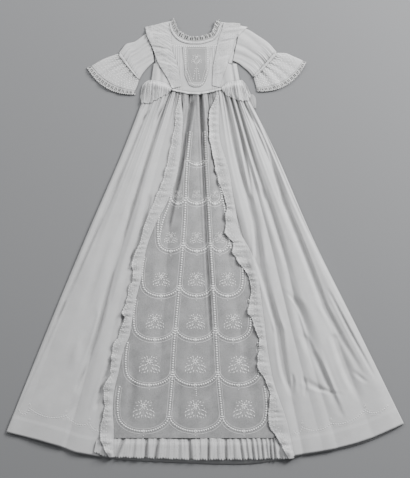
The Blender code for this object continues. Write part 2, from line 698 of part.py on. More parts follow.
def make_cuff_lace(gown, word, side, lace, folds):
    """The lace edge of one cuff: its under half flat, its upper half waved."""
    def sewn_edge(u):
        return ring_place(lace, 0.0, mix(LACE_END_MARGIN, 1 - LACE_END_MARGIN, u), side)

    def free_edge(u):
        return ring_place(lace, 1.0, mix(LACE_END_MARGIN, 1 - LACE_END_MARGIN, u), side)

    def upper_height(u, f):
        return FRONT_LAYER + CUFF_LACE_RISE * (1 - f) + fold_rise(folds, 1.0, u) * mix(1.0, 0.7, f)

    name = "cuff_lace_" + word + "_under"
    under = lace_mesh(name, sewn_edge, free_edge, CUFF_LACE_REPEATS, lambda u, f: 0.0)
    gown.add(name, under, LACE_THREAD)
    name = "cuff_lace_" + word + "_upper"
    upper = lace_mesh(name, sewn_edge, free_edge, CUFF_LACE_REPEATS, upper_height)
    gown.add(name, upper, LACE_THREAD)


def make_sleeve_bands(gown):
    """The narrow bands over the gathers between sleeve and cuff."""
    for word, side, sleeve in (("left", -1, LEFT_SLEEVE), ("right", 1, RIGHT_SLEEVE)):
        places = []
        for along in SLEEVE_BAND_SPAN:
            row = []
            for j in range(SLEEVE_BAND_COLUMNS + 1):
                place = ring_place(sleeve, along, mix(0.05, 0.95, j / SLEEVE_BAND_COLUMNS), side)
                row.append((place.x, place.y, 0.0))
            places.append(row)
        name = "sleeve_band_" + word
        grid = laid_grid(gown, places, SLEEVE_BAND_REACH)
        gown.add(name, cloth_mesh(name, grid), EMBROIDERED_CLOTH)


def make_waistband(gown):
    """The narrow band over the waist seam."""
    places = []
    for offset in (-WAISTBAND_WIDTH / 2, WAISTBAND_WIDTH / 2):
        row = []
        for j in range(WAISTBAND_COLUMNS + 1):
            x = mix(WAISTBAND_LEFT, WAISTBAND_RIGHT, j / WAISTBAND_COLUMNS)
            row.append((x, line_down(WAIST_SEAM, x) + offset, 0.0))
        places.append(row)
    grid = laid_grid(gown, places, WAISTBAND_REACH)
    gown.add("waistband", cloth_mesh("waistband", grid), PLAIN_CLOTH)


def make_hem_frill(gown):
    """The gathered frill at the foot of the front panel, its pleats uneven."""
    columns = FRILL_PLEATS * 4
    places = []
    for v in FRILL_ROWS:
        row = []
        for j in range(columns + 1):
            u = j / columns
            uneven = 0.30 * math.sin(math.tau * 2.3 * u + 1.0) + 0.16 * math.sin(math.tau * 5.2 * u)
            wave = 0.5 - 0.5 * math.cos(math.tau * (FRILL_PLEATS * u + uneven))
            strength = 0.7 + 0.3 * math.sin(math.tau * 3.4 * u + 0.6)
            x = mix(FRILL_LEFT, FRILL_RIGHT, u) + FRILL_SPREAD * (2 * u - 1) * v
            foot = line_down(FRILL_FOOT, x)
            down = mix(FRONT_PANEL_FOOT + 2 * GAP, foot, v)
            row.append((x, down, FRILL_RISE * wave * strength * mix(0.35, 1.0, v)))
        places.append(row)
    grid = laid_grid(gown, places, HEM_FRILL_REACH)
    gown.add("hem_frill", cloth_mesh("hem_frill", grid), EMBROIDERED_CLOTH)


def make_robing(gown, name, strips, phase):
    """One ruffle along the front panel, flat where it is sewn and waved at its free edge."""
    first, last = strips[0].down, strips[-1].down
    downs = column_of(strips, "down")
    places = []
    for i in range(ROBING_ROWS + 1):
        down = mix(first, last, i / ROBING_ROWS)
        sewn = through(downs, column_of(strips, "sewn"), down)
        free = through(downs, column_of(strips, "free"), down)
        turn = ROBING_WAVES * i / ROBING_ROWS + phase + 0.25 * math.sin(i * 0.35)
        wave = math.sin(math.tau * turn)
        row = []
        for j in range(ROBING_COLUMNS + 1):
            f = j / ROBING_COLUMNS
            lift = ROBING_ARCH * math.sin(math.pi * f) + ROBING_WAVE_RISE * f * (0.5 + 0.5 * wave)
            row.append((mix(sewn, free, f), down + ROBING_WAVE_SWING * wave * f, lift))
        places.append(row)
    grid = laid_grid(gown, places, RUFFLE_REACH)
    gown.add(name, cloth_mesh(name, grid), EMBROIDERED_CLOTH)


def make_waist_frill(gown, name, rows):
    """A short frill that stands out at the side of the waist."""
    places = []
    for v in FRILL_ROWS:
        row = []
        for j in range(WAIST_FRILL_COLUMNS + 1):
            u = j / WAIST_FRILL_COLUMNS
            x = mix(at_share(rows, "top_x", u), at_share(rows, "low_x", u), v)
            down = mix(at_share(rows, "top_down", u), at_share(rows, "low_down", u), v)
            pleat = 0.35 if j % 2 else 1.0
            row.append((x, down, at_share(rows, "rise", u) * v * pleat))
        places.append(row)
    grid = laid_grid(gown, places, RUFFLE_REACH)
    gown.add(name, cloth_mesh(name, grid), EMBROIDERED_CLOTH)


def make_bretelle(gown, name, rows):
    """A wide shoulder frill, sewn at its inner edge and free at its outer edge."""
    places = []
    for i in range(BRETELLE_ROWS + 1):
        u = i / BRETELLE_ROWS
        row = []
        for j in range(BRETELLE_COLUMNS + 1):
            f = j / BRETELLE_COLUMNS
            x = mix(at_share(rows, "inner_x", u), at_share(rows, "outer_x", u), f)
            down = mix(at_share(rows, "inner_down", u), at_share(rows, "outer_down", u), f)
            wave = 0.6 + 0.4 * math.sin(math.tau * BRETELLE_WAVES * u + 0.8)
            row.append((x, down, at_share(rows, "rise", u) * math.sin(0.8 * math.pi * f) * wave))
        places.append(row)
    grid = laid_grid(gown, places, BRETELLE_REACH)
    gown.add(name, cloth_mesh(name, grid), EMBROIDERED_CLOTH)


def make_gown():
    """Lay the pieces in order, from the surface up."""
    gown = Gown("christening_gown")
    make_back(gown)
    gown.add("waist_frill_right_back", flat_mesh("waist_frill_right_back", BACK_FRILL), BACK_CLOTH)
    make_neck(gown)
    make_sleeves(gown)
    make_bodice(gown)
    make_skirt_front(gown)
    make_neck_band(gown)
    make_inset(gown)
    make_sleeve_bands(gown)
    make_waistband(gown)
    make_hem_frill(gown)
    make_waist_frill(gown, "waist_frill_left", LEFT_WAIST_FRILL)
    make_waist_frill(gown, "waist_frill_right", RIGHT_WAIST_FRILL)
    make_robing(gown, "robing_left", LEFT_ROBING, 0.0)
    make_robing(gown, "robing_right", RIGHT_ROBING, 0.4)
    make_bretelle(gown, "bretelle_left", LEFT_BRETELLE)
    make_bretelle(gown, "bretelle_right", RIGHT_BRETELLE)


clear_scene()
make_gown()
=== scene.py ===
"""The look of a christening gown of white cotton, laid flat on its back.

The tables are in millimetres: x from the gown's middle line, "down" from the neck.
Each piece of cloth is a fine sheet laid over those below it, on one map of heights.
"""

import math
from collections import namedtuple

import bpy
import numpy as np
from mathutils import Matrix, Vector


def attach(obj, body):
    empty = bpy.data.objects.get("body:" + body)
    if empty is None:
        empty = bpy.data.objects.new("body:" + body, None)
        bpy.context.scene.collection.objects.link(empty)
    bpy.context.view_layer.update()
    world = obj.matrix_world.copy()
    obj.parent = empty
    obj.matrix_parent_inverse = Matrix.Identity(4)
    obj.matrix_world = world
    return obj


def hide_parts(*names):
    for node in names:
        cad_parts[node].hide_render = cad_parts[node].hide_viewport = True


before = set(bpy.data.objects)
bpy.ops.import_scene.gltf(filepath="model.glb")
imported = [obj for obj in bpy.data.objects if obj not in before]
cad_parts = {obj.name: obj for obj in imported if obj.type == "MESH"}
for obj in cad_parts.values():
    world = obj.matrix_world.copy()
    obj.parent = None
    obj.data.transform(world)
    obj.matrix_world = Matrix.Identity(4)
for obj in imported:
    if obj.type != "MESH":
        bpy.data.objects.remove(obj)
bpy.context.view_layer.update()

MM = 0.001
TAU = math.tau

# Sizes of the whole gown
LENGTH = 1009.5
TOP_DOWN = 1.1
FOOT_HALF = 449.0
CLOTH = 0.45
GAP = 0.35
BACK_HEIGHT = 0.6
FRONT_HEIGHT = 2.3
LOWEST_FRONT = 1.8
RISE = 0.95
PANEL_RISE = 1.25
FOLD_END = 0.10
FOLD_STRENGTH = 1.25
FOLD_SHOULDER = 0.30
SIDE_SHARE = 0.03
STATIONS = (300.0, 500.0, 700.0)
FRONT_PANEL_FOOT = 949.0
HEM_BAND = 0.953
HEM_STEP = 0.7
HEM_STEP_RUN = 0.003
SEWN_SINK = 0.25
SEWN_SHARE = 0.35

# Map of heights, one cell to the millimetre
MAP_ROWS = 1040
MAP_COLUMNS = 960
MAP_TOP = 10
MAP_MIDDLE = 480

Crease = namedtuple("Crease", "waist upper middle lower hem rise_waist rise_middle rise_hem")
Place = namedtuple("Place", "x down")
Strip = namedtuple("Strip", "down sewn free")
Ring = namedtuple("Ring", "top_x top_down low_x low_down bow")
Shoulder = namedtuple("Shoulder", "outer_x outer_down inner_x inner_down rise")
Neck = namedtuple("Neck", "seam_x seam_down lace_x lace_down")
Frill = namedtuple("Frill", "top_x top_down low_x low_down rise")
Fold = namedtuple("Fold", "x1 down1 x2 down2 x3 down3 depth1 depth2 depth3 left right")
Ray = namedtuple("Ray", "start end depth_start depth_end width")
Slit = namedtuple("Slit", "top_x foot_x depth width")
Arc = namedtuple("Arc", "down depth sprig")
Leaf = namedtuple("Leaf", "x down length width turn")

LEFT_SIDE = (
    Crease(-126, -185, -271, -354, -449, 0.0, 0.0, 0.0),
    Crease(-121, -180, -265, -347, -438, 3.0, 4.0, 2.0),
    Crease(-112, -171, -254, -333, -420, 0.5, 2.5, 2.0),
    Crease(-97, -147, -224, -301, -378, 6.0, 8.0, 4.0),
    Crease(-80, -129, -190, -249, -326, 4.0, 6.5, 4.0),
    Crease(-76, -124, -183, -240, -316, 0.3, 0.5, 1.5),
    Crease(-70, -113, -168, -226, -292, 5.5, 8.0, 4.0),
    Crease(-65, -100, -153, -207, -262, 1.0, 2.5, 2.0),
    Crease(-59, -69, -139, -183, -238, 2.0, 3.0, 2.0),
)
FRONT_PANEL = (
    Crease(-59, -69, -139, -183, -238, 2.0, 3.0, 2.0),
    Crease(-46, -58, -109, -134, -172, 4.5, 5.5, 3.0),
    Crease(-34, -48, -83, -95, -119, 0.3, 1.0, 2.5),
    Crease(-21, -25, -43, -52, -69, 6.0, 5.0, 3.0),
    Crease(-10, -5, 0, 10, 17, 0.5, 1.0, 2.5),
    Crease(-3, 7, 22, 43, 69, 5.0, 5.0, 3.0),
    Crease(6, 18, 47, 79, 121, 0.5, 2.5, 2.5),
    Crease(18, 28, 86, 122, 185, 2.0, 3.0, 2.0),
)
RIGHT_SIDE = (
    Crease(18, 28, 86, 122, 185, 2.0, 3.0, 2.0),
    Crease(31, 50, 99, 145, 203, 5.5, 8.0, 4.0),
    Crease(43, 69, 117, 162, 222, 0.3, 0.5, 1.5),
    Crease(48, 80, 128, 176, 243, 5.0, 7.0, 4.0),
    Crease(52, 91, 145, 194, 268, 0.3, 3.5, 3.5),
    Crease(57, 97, 158, 206, 284, 5.0, 7.5, 4.0),
    Crease(61, 104, 169, 218, 300, 1.0, 2.5, 2.5),
    Crease(66, 118, 190, 251, 339, 5.0, 9.0, 4.5),
    Crease(71, 135, 211, 285, 381, 0.8, 1.0, 2.0),
    Crease(77, 146, 230, 322, 425, 3.5, 7.0, 3.5),
    Crease(82, 157, 244, 343, 449, 0.0, 0.0, 0.0),
)

# Folds over and above the creases: a valley has a depth above 0, a ridge below 0
LEFT_FOLDS = (
    Fold(-86, 186, -120, 292, -163, 430, 2.0, 3.0, 3.0, 9.0, 2.4),
    Fold(-163, 430, -197, 532, -228, 654, 3.0, 3.0, 6.0, 7.0, 2.6),
    Fold(-228, 654, -247, 719, -294, 844, 6.0, 4.0, 0.0, 4.0, 4.0),
    Fold(-91, 193, -102, 213, -115, 242, 0.0, 3.0, 0.0, 3.0, 2.0),
    Fold(-125, 209, -134, 222, -143, 237, 0.0, 2.4, 0.0, 2.5, 2.0),
    Fold(-134, 192, -140, 202, -148, 214, 0.0, 2.0, 0.0, 2.0, 2.0),
    Fold(-147, 251, -225, 435, -323, 656, 1.2, 1.8, 1.6, 1.6, 3.0),
    Fold(-323, 656, -373, 769, -425, 882, 1.6, 1.4, 0.5, 1.6, 3.0),
    Fold(-125, 412, -140, 480, -183, 584, 2.0, 5.0, 1.0, 8.0, 3.0),
    Fold(-214, 780, -232, 837, -247, 881, 3.0, 7.0, 1.0, 5.0, 4.0),
    Fold(-177, 656, -182, 676, -190, 697, 0.0, 5.0, 0.0, 4.0, 3.0),
    Fold(-197, 462, -228, 563, -265, 679, 0.0, -2.0, 0.0, 7.0, 7.0),
    Fold(-274, 706, -290, 751, -303, 796, 0.0, -1.8, 0.0, 7.0, 7.0),
    Fold(-300, 742, -339, 812, -384, 868, 0.0, 1.6, 0.0, 12.0, 15.0),
    Fold(-265, 778, -278, 807, -295, 844, 0.0, 2.2, 0.0, 2.0, 3.0),
    Fold(-287, 853, -301, 882, -314, 909, 0.0, 1.6, 0.0, 6.0, 8.0),
    Fold(-180, 330, -215, 420, -262, 540, 0.0, 2.2, 0.0, 9.0, 5.0),
)
PANEL_FOLDS = (
    Fold(-32, 208, -48, 304, -81, 462, 8.0, 9.0, 3.0, 3.4, 3.0),
    Fold(-10, 188, -2, 371, 8, 615, 6.0, 6.0, 5.0, 2.8, 3.4),
    Fold(8, 615, 11, 683, 16, 745, 4.0, 2.6, 0.0, 2.6, 3.0),
    Fold(6, 229, 10, 252, 8, 272, 0.0, 6.0, 0.0, 2.0, 2.0),
    Fold(-73, 268, -77, 294, -81, 322, 0.0, 4.5, 0.0, 2.4, 1.8),
    Fold(-55, 182, -53, 200, -53, 217, 0.0, 4.0, 0.0, 2.0, 1.8),
    Fold(-95, 640, -104, 700, -100, 760, 0.0, 2.0, 0.0, 14.0, 6.0),
    Fold(-160, 760, -166, 840, -172, 905, 0.0, 3.0, 1.0, 7.0, 9.0),
    Fold(74, 640, 90, 760, 112, 900, 0.0, 2.0, 0.5, 9.0, 14.0),
    Fold(-56, 800, -62, 860, -66, 930, 0.0, 1.8, 0.8, 12.0, 8.0),
)
RIGHT_FOLDS = (
    Fold(49, 195, 67, 292, 100, 412, 3.0, 4.0, 3.0, 2.6, 4.0),
    Fold(100, 412, 115, 475, 118, 550, 3.0, 4.0, 7.0, 4.0, 7.0),
    Fold(118, 550, 136, 609, 164, 699, 7.0, 4.0, 6.0, 4.0, 5.0),
    Fold(164, 699, 175, 792, 196, 857, 6.0, 4.0, 0.0, 4.0, 6.0),
    Fold(61, 191, 86, 288, 106, 412, 3.0, 4.0, 1.0, 3.0, 3.0),
    Fold(73, 191, 103, 299, 133, 401, 2.0, 2.4, 2.4, 3.0, 3.0),
    Fold(133, 401, 170, 509, 205, 606, 2.4, 2.6, 0.5, 6.0, 6.0),
    Fold(94, 206, 133, 274, 178, 417, 2.0, 2.6, 3.0, 3.0, 6.0),
    Fold(178, 417, 221, 520, 273, 658, 3.0, 3.6, 3.0, 6.0, 4.0),
    Fold(273, 658, 314, 733, 364, 819, 3.0, 2.6, 0.0, 6.0, 5.0),
    Fold(185, 620, 210, 652, 242, 742, 0.0, 3.4, 1.0, 3.0, 9.0),
    Fold(129, 245, 221, 459, 316, 647, 1.6, 1.6, 1.6, 2.6, 1.6),
    Fold(284, 627, 329, 713, 388, 821, 1.0, 2.6, 0.0, 3.0, 3.0),
    Fold(230, 726, 270, 807, 306, 891, 2.0, 3.0, 1.0, 8.0, 4.0),
    Fold(255, 737, 280, 812, 304, 871, 0.0, -1.6, 0.0, 4.0, 4.0),
    Fold(293, 726, 318, 801, 348, 866, 2.4, 3.0, 0.0, 6.0, 9.0),
    Fold(335, 796, 350, 812, 367, 826, 0.0, 1.8, 0.0, 5.0, 5.0),
    Fold(196, 801, 199, 823, 196, 853, 0.0, 2.4, 0.0, 3.0, 3.0),
    Fold(221, 807, 226, 832, 224, 855, 0.0, 2.2, 0.0, 3.0, 3.0),
    Fold(226, 814, 255, 837, 300, 850, 0.0, 2.6, 0.5, 10.0, 10.0),
    Fold(160, 470, 190, 560, 236, 690, 0.0, -2.0, 0.0, 8.0, 8.0),
)

BACK_WAIST_LEFT = -126.0
BACK_WAIST_RIGHT = 78.0
WAIST_SEAM = (Place(-129, 147), Place(-75, 163), Place(-20, 172), Place(31, 163), Place(99, 147))
LEFT_HEM = (Place(-449, 936), Place(-328, 968), Place(-299, 980), Place(-238, 991))
RIGHT_HEM = (Place(185, 992), Place(203, 989), Place(295, 973), Place(369, 952), Place(449, 917))
PANEL_HEM = (Place(-238, 991), Place(185, 992))
BACK_HEM = (
    Place(-449, 936), Place(-328, 968), Place(-299, 980), Place(-240, 991), Place(-150, 1001),
    Place(-50, 1006), Place(65, 1010), Place(130, 1003), Place(203, 989), Place(295, 973),
    Place(369, 952), Place(449, 917),
)
BACK_LEFT = (Place(-129, 150), Place(-131, 172), Place(-185, 300), Place(-271, 500), Place(-354, 700),
             Place(-449, 936))
BACK_RIGHT = (Place(78, 150), Place(80, 172), Place(90, 196), Place(110, 213), Place(129, 243),
              Place(157, 300), Place(244, 500), Place(343, 700), Place(449, 917))

LEFT_ROBING = (
    Strip(184, -54, -67), Strip(231, -50, -67), Strip(270, -52, -74), Strip(316, -57, -83),
    Strip(367, -66, -96), Strip(423, -88, -119), Strip(468, -112, -137), Strip(514, -130, -149),
    Strip(554, -139, -165), Strip(584, -143, -163), Strip(613, -150, -174), Strip(645, -158, -179),
    Strip(663, -161, -187), Strip(674, -163, -182), Strip(717, -170, -197), Strip(751, -184, -211),
    Strip(805, -196, -215), Strip(838, -204, -231), Strip(862, -207, -229), Strip(889, -208, -228),
    Strip(930, -206, -239), Strip(954, -206, -235), Strip(992, -206, -216),
)
RIGHT_ROBING = (
    Strip(184, 31, 11), Strip(231, 31, 9), Strip(270, 33, 10), Strip(322, 47, 20),
    Strip(346, 54, 24), Strip(389, 61, 37), Strip(428, 68, 48), Strip(484, 79, 44),
    Strip(508, 92, 62), Strip(530, 104, 62), Strip(561, 114, 82), Strip(580, 119, 95),
    Strip(611, 124, 103), Strip(661, 130, 97), Strip(690, 134, 108), Strip(735, 139, 122),
    Strip(779, 146, 117), Strip(826, 156, 138), Strip(862, 168, 147), Strip(888, 177, 141),
    Strip(918, 186, 143), Strip(954, 194, 166), Strip(995, 203, 188),
)

ROBING_DOWNS = (184, 330, 480, 560, 700, 800, 995)
LEFT_WAVES = (1.0, 1.8, 1.6, 3.4, 4.4, 5.2, 4.6)
RIGHT_WAVES = (1.0, 2.0, 4.0, 3.4, 4.2, 4.4, 4.4)
ROBING_HEAD = 8
ROBING_HEAD_RUN = 40
ROBING_WAVES = 25.0
ROBING_SMALL_WAVES = 63.0
ROBING_SCALLOPS = 118
STITCHED_ROWS = slice(4, -9)

FRILL_FOOT = (Place(-251, 983), Place(-215, 993), Place(-100, 997), Place(0, 1000), Place(192, 997))
FRILL_LEFT = -244.0
FRILL_RIGHT = 186.0
FRILL_SPREAD = 7.0
FRILL_BASE = 1.7
FRILL_RISE = 3.3
FRILL_SCALLOPS = 74
FRILL_SLITS = (
    Slit(-184, -201, 6.0, 3.5), Slit(-160, -164, 2.0, 3.0), Slit(-132, -134, 6.0, 3.0),
    Slit(-106, -113, 6.5, 3.0), Slit(-84, -86, 1.6, 4.0), Slit(-60, -60, 2.0, 4.0),
    Slit(-36, -33, 6.5, 3.0), Slit(-14, -13, 1.6, 4.0), Slit(7, 7, 6.0, 2.6),
    Slit(27, 27, 2.0, 3.0), Slit(46, 47, 5.5, 2.6), Slit(63, 64, 1.6, 3.0),
    Slit(78, 85, 5.0, 2.6), Slit(91, 97, 3.0, 2.4), Slit(104, 110, 4.6, 2.4),
    Slit(115, 120, 3.0, 2.2), Slit(126, 131, 4.6, 2.4), Slit(136, 141, 2.6, 2.2),
    Slit(145, 149, 5.0, 2.2), Slit(154, 158, 4.6, 2.2), Slit(168, 172, 2.4, 3.0),
)

LEFT_ARMHOLE = (Place(-125, 30), Place(-115, 100))
RIGHT_ARMHOLE = (Place(79, 20), Place(62, 98))
LEFT_SHOULDER = (Place(-122, 19), Place(-107, 15), Place(-92, 11))
RIGHT_SHOULDER = (Place(51, 12), Place(66, 12), Place(80, 14))
BODICE_WAIST_LEFT = -124.0
BODICE_WAIST_RIGHT = 79.0
UNDERARM_DOWN = 104.0
ARMHOLE_INWARD = 0.6
LEFT_SIDE_SEAM = -118.5
RIGHT_SIDE_SEAM = 71.0
TUCKS = (-76, -71, -66, -61, -56, 18, 22, 26)

NECKLINE = (
    Neck(-77, 8, -71, 0), Neck(-75, 21, -66, 12), Neck(-67, 37, -61, 25), Neck(-52, 49, -46, 36),
    Neck(-31, 54, -30, 42), Neck(-13, 54, -14, 42), Neck(4, 50, 1, 38), Neck(17, 45, 12, 34),
    Neck(25, 34, 18, 25), Neck(30, 21, 21, 13), Neck(36, 10, 31, 3),
)
INSET_TOP = 66.0
INSET_FOOT = 157.0
INSET_LEFT = -51.0
INSET_RIGHT = 14.0
INSET_TAPER = 6.0
INSET_FOOT_ROUND = 26.0
INSET_MIDDLE = -19.5
INSET_HALF = 25.0
INSET_WORK_FOOT = 153.0
INSET_WORK_TOP = 72.0
INSET_BOWL = 22.5
BOWL_SHARE = 0.25
BORDER_BEADS = (4.8, 1.7, 1.5, 0.9)
YOKE_DOWN = 66.0
YOKE_LEFT = -74
YOKE_RIGHT = 36
YOKE_BEADS = (4.6, 1.5, 1.3, 0.8)
NECK_BAND_WIDTH = 6.0
WAISTBAND_HALF = 2.4
BRETELLE_SCALLOPS = 27

LEFT_BRETELLE = (
    Shoulder(-135, 21, -83, 11, 2.5), Shoulder(-131, 41, -78, 32, 2.5),
    Shoulder(-122, 60, -76, 52, 2.0), Shoulder(-114, 80, -75, 72, 2.0),
    Shoulder(-107, 100, -67, 94, 2.0), Shoulder(-94, 122, -61, 114, 1.5),
    Shoulder(-83, 140, -57, 134, 1.2), Shoulder(-74, 160, -54, 156, 0.8),
)
RIGHT_BRETELLE = (
    Shoulder(96, 21, 42, 12, 2.0), Shoulder(80, 36, 37, 30, 2.0),
    Shoulder(66, 54, 31, 46, 2.0), Shoulder(60, 78, 27, 66, 2.0),
    Shoulder(52, 99, 22, 90, 2.0), Shoulder(45, 120, 18, 112, 1.5),
    Shoulder(38, 138, 17, 132, 1.2), Shoulder(33, 158, 16, 154, 0.8),
)

LEFT_SLEEVE = (
    Ring(-125.4, 30, -115.4, 100, 0.0), Ring(-143, 43, -126, 109, 2.0),
    Ring(-161, 55, -137, 121, 3.0), Ring(-177, 59, -144, 131, 3.0),
    Ring(-195, 80, -149, 140, 1.0),
)
RIGHT_SLEEVE = (
    Ring(79.4, 20, 62.4, 98, 0.0), Ring(99, 28, 74, 103, 2.0), Ring(120, 41, 86, 112, 3.0),
    Ring(143, 57, 98, 122, 3.0), Ring(162, 78, 109, 135, 1.0),
)
LEFT_CUFF = (
    Ring(-196, 81.5, -149.5, 141.5, 1.0), Ring(-213, 87, -151.5, 149, 5.0),
    Ring(-235, 96, -154.5, 157, 9.0), Ring(-257, 109, -158, 165, 13.0),
)
RIGHT_CUFF = (
    Ring(162.6, 79.5, 109.6, 136.5, 1.0), Ring(180, 80, 111.5, 144, 7.0),
    Ring(201, 88, 113.5, 151, 12.0), Ring(221, 97, 115, 158, 18.0),
)
LEFT_CUFF_LACE = (Ring(-257.3, 109.3, -158.1, 165.4, 13.0), Ring(-268, 112, -155, 174, 20.5))
RIGHT_CUFF_LACE = (Ring(221.3, 97.3, 115.1, 158.4, 18.0), Ring(230, 99, 116, 167, 23.0))

TUBE_MIDDLE = 1.5
TUBE_RISE = 2.3
TUBE_DROP = 1.4
CUFF_DOT_ROWS = 9
CUFF_DOT_COLUMNS = 14

# Folds that run along a sleeve or cuff: where across it they start and end
LEFT_SLEEVE_RAYS = (
    Ray(0.06, 0.20, 3.0, 0.6, 0.07), Ray(0.30, 0.30, 1.0, 2.0, 0.04), Ray(0.46, 0.42, 2.6, 2.0, 0.05),
    Ray(0.60, 0.52, 2.6, 1.8, 0.04), Ray(0.78, 0.62, 0.8, 1.6, 0.05), Ray(0.93, 0.74, 1.4, 0.8, 0.05),
    Ray(0.20, 0.38, -1.6, 0.0, 0.07), Ray(0.70, 0.57, -1.6, 0.0, 0.07),
)
RIGHT_SLEEVE_RAYS = (
    Ray(0.12, 0.30, 0.8, 1.0, 0.06), Ray(0.30, 0.42, -1.2, 0.6, 0.08), Ray(0.52, 0.50, 1.0, 2.0, 0.05),
    Ray(0.80, 0.66, 1.2, 2.4, 0.07), Ray(0.93, 0.80, 0.8, 1.4, 0.05), Ray(0.66, 0.58, -1.2, 0.5, 0.07),
)
LEFT_CUFF_RAYS = (
    Ray(0.20, 0.16, 1.4, 0.3, 0.04), Ray(0.34, 0.28, 2.6, 3.0, 0.035), Ray(0.46, 0.44, 1.0, 0.4, 0.05),
    Ray(0.62, 0.66, 2.0, 2.0, 0.05), Ray(0.80, 0.84, 1.6, 0.8, 0.05), Ray(0.40, 0.40, -1.4, -1.6, 0.06),
    Ray(0.72, 0.76, -1.2, -1.2, 0.06),
)
RIGHT_CUFF_RAYS = (
    Ray(0.22, 0.20, 1.2, 0.8, 0.05), Ray(0.40, 0.38, 1.4, 1.2, 0.04), Ray(0.56, 0.54, 1.2, 1.8, 0.05),
    Ray(0.74, 0.76, 2.4, 1.6, 0.07), Ray(0.90, 0.90, 1.2, 0.6, 0.04), Ray(0.64, 0.66, -1.4, -1.4, 0.07),
)

LEFT_WAIST_FRILL = (
    Frill(-74, 157, -80, 172, 1.0), Frill(-90, 148, -94, 178, 3.0), Frill(-107, 143, -110, 186, 4.0),
    Frill(-123, 141, -127, 194, 3.0), Frill(-134, 145, -142, 195, 5.0),
    Frill(-141, 152, -147, 178, 2.0),
)
RIGHT_WAIST_FRILL = (
    Frill(37, 157, 42, 172, 1.0), Frill(52, 146, 57, 180, 3.0), Frill(68, 143, 75, 188, 4.0),
    Frill(82, 141, 93, 190, 3.0), Frill(89, 147, 101, 184, 5.0), Frill(95, 155, 103, 175, 2.0),
)
BACK_FRILL_LEFT = (Place(91, 173), Place(93, 184), Place(98, 195), Place(109, 205))
BACK_FRILL_RIGHT = (Place(108, 173.5), Place(113.5, 180), Place(115.5, 193), Place(115, 206))

# Whitework: beads have a spacing, length, width and rise, and lines a width and rise.
# The front panel has lines between its columns, and rows of arcs.
PANEL_BEADS = (5.4, 2.4, 2.3, 1.3)
PANEL_CORD = (1.1, 0.45)
HEM_BEADS = (5.4, 1.8, 1.5, 0.8)
HEM_CORD = (0.7, 0.35)
FIRST_ROW = 60.0
FESTOON_SAG = 11.0
PETALS = 7
PANEL_LINES = (
    (Place(-71, 362), Place(-81, 419), Place(-96, 462), Place(-105, 502), Place(-134, 575),
     Place(-155, 667), Place(-172, 767), Place(-191, 853), Place(-198, 905)),
    (Place(-38, 300), Place(-41, 333), Place(-46, 457), Place(-52, 541), Place(-62, 647),
     Place(-70, 737), Place(-75, 823), Place(-82, 905)),
    (Place(1, 300), Place(2, 333), Place(7, 423), Place(12, 511), Place(19, 622), Place(24, 706),
     Place(28, 787), Place(36, 875), Place(42, 934)),
    (Place(24, 330), Place(26, 351), Place(36, 394), Place(45, 439), Place(59, 527), Place(83, 593),
     Place(86, 622), Place(104, 706), Place(129, 832), Place(142, 934)),
)
LEFT_CROWNS = (
    Place(-420, 887), Place(-396, 883), Place(-314, 899), Place(-261, 916), Place(-236, 926),
)
RIGHT_CROWNS = (
    Place(200, 934), Place(219, 925), Place(284, 917), Place(361, 887), Place(412, 876),
)
PANEL_ARCS = (
    Arc(333, 14, 0), Arc(421, 18, 11), Arc(528, 23, 16), Arc(629, 28, 20), Arc(728, 31, 22),
    Arc(830, 34, 25), Arc(934, 38, 26),
)
SPRIG = (
    Leaf(0.20, -0.52, 0.13, 0.05, -70), Leaf(0.40, -0.44, 0.12, 0.05, -35),
    Leaf(0.56, -0.14, 0.12, 0.05, 15), Leaf(0.34, 0.20, 0.13, 0.05, 40),
    Leaf(0.62, 0.26, 0.16, 0.055, 20), Leaf(0.86, 0.40, 0.14, 0.05, 50),
    Leaf(0.30, 0.52, 0.17, 0.06, 55), Leaf(0.58, 0.62, 0.18, 0.06, 30),
    Leaf(0.88, 0.74, 0.13, 0.05, 70), Leaf(0.16, 0.76, 0.15, 0.055, 75),
    Leaf(0.44, 0.86, 0.14, 0.05, 20), Leaf(0.76, 0.10, 0.05, 0.045, 0),
    Leaf(0.66, -0.38, 0.05, 0.045, 0), Leaf(0.70, 0.92, 0.05, 0.045, 0),
)

# Cloth and thread
COTTON_ROUGHNESS = 0.82
COTTON_SHEEN = 0.25
THREAD_ROUGHNESS = 0.6
THREAD_SHEEN = 0.35
BRIGHTEST = 0.95
INSET_SHADE = 0.66
INSET_GROUND = (-0.0195, 0.0225, 0.360)

# Camera, floor and lights, in metres; a pixel of the photograph is PIXEL millimetres
SENSOR = 36.0
PIXEL = 2.26
PHOTO_LONG_SIDE = 478
CAMERA_X = -0.0002
CAMERA_Y = 0.0057
CAMERA_HEIGHT = 3.4
FLOOR_SIZE = 12.0
FLOOR_GAP = 0.0004
FLOOR_COLOUR = (0.27, 0.273, 0.28)
SKY_COLOUR = (0.95, 0.97, 1.0)
SKY_STRENGTH = 0.20
LIGHTS = (
    ("key", (1.9, 1.5, 1.25), 0.9, 112.0),
    ("left", (-2.2, 1.7, 1.6), 1.2, 34.0),
    ("top", (0.3, 2.4, 1.5), 1.2, 34.0),
)


def mix(a, b, share):
    """Value between a and b."""
    return a + (b - a) * share


def smooth(t):
    """Rise from 0 to 1 with soft ends."""
    t = np.clip(t, 0.0, 1.0)
    return t * t * (3 - 2 * t)


def knot_slopes(steps):
    """Slopes at the knots of a smooth curve, flat at peaks and dips; the last axis runs along it."""
    before, after = steps[..., :-1], steps[..., 1:]
    same = before * after > 0
    inner = np.where(same, 2 * before * after / np.where(same, before + after, 1.0), 0.0)
    return np.concatenate([steps[..., :1], inner, steps[..., -1:]], axis=-1)


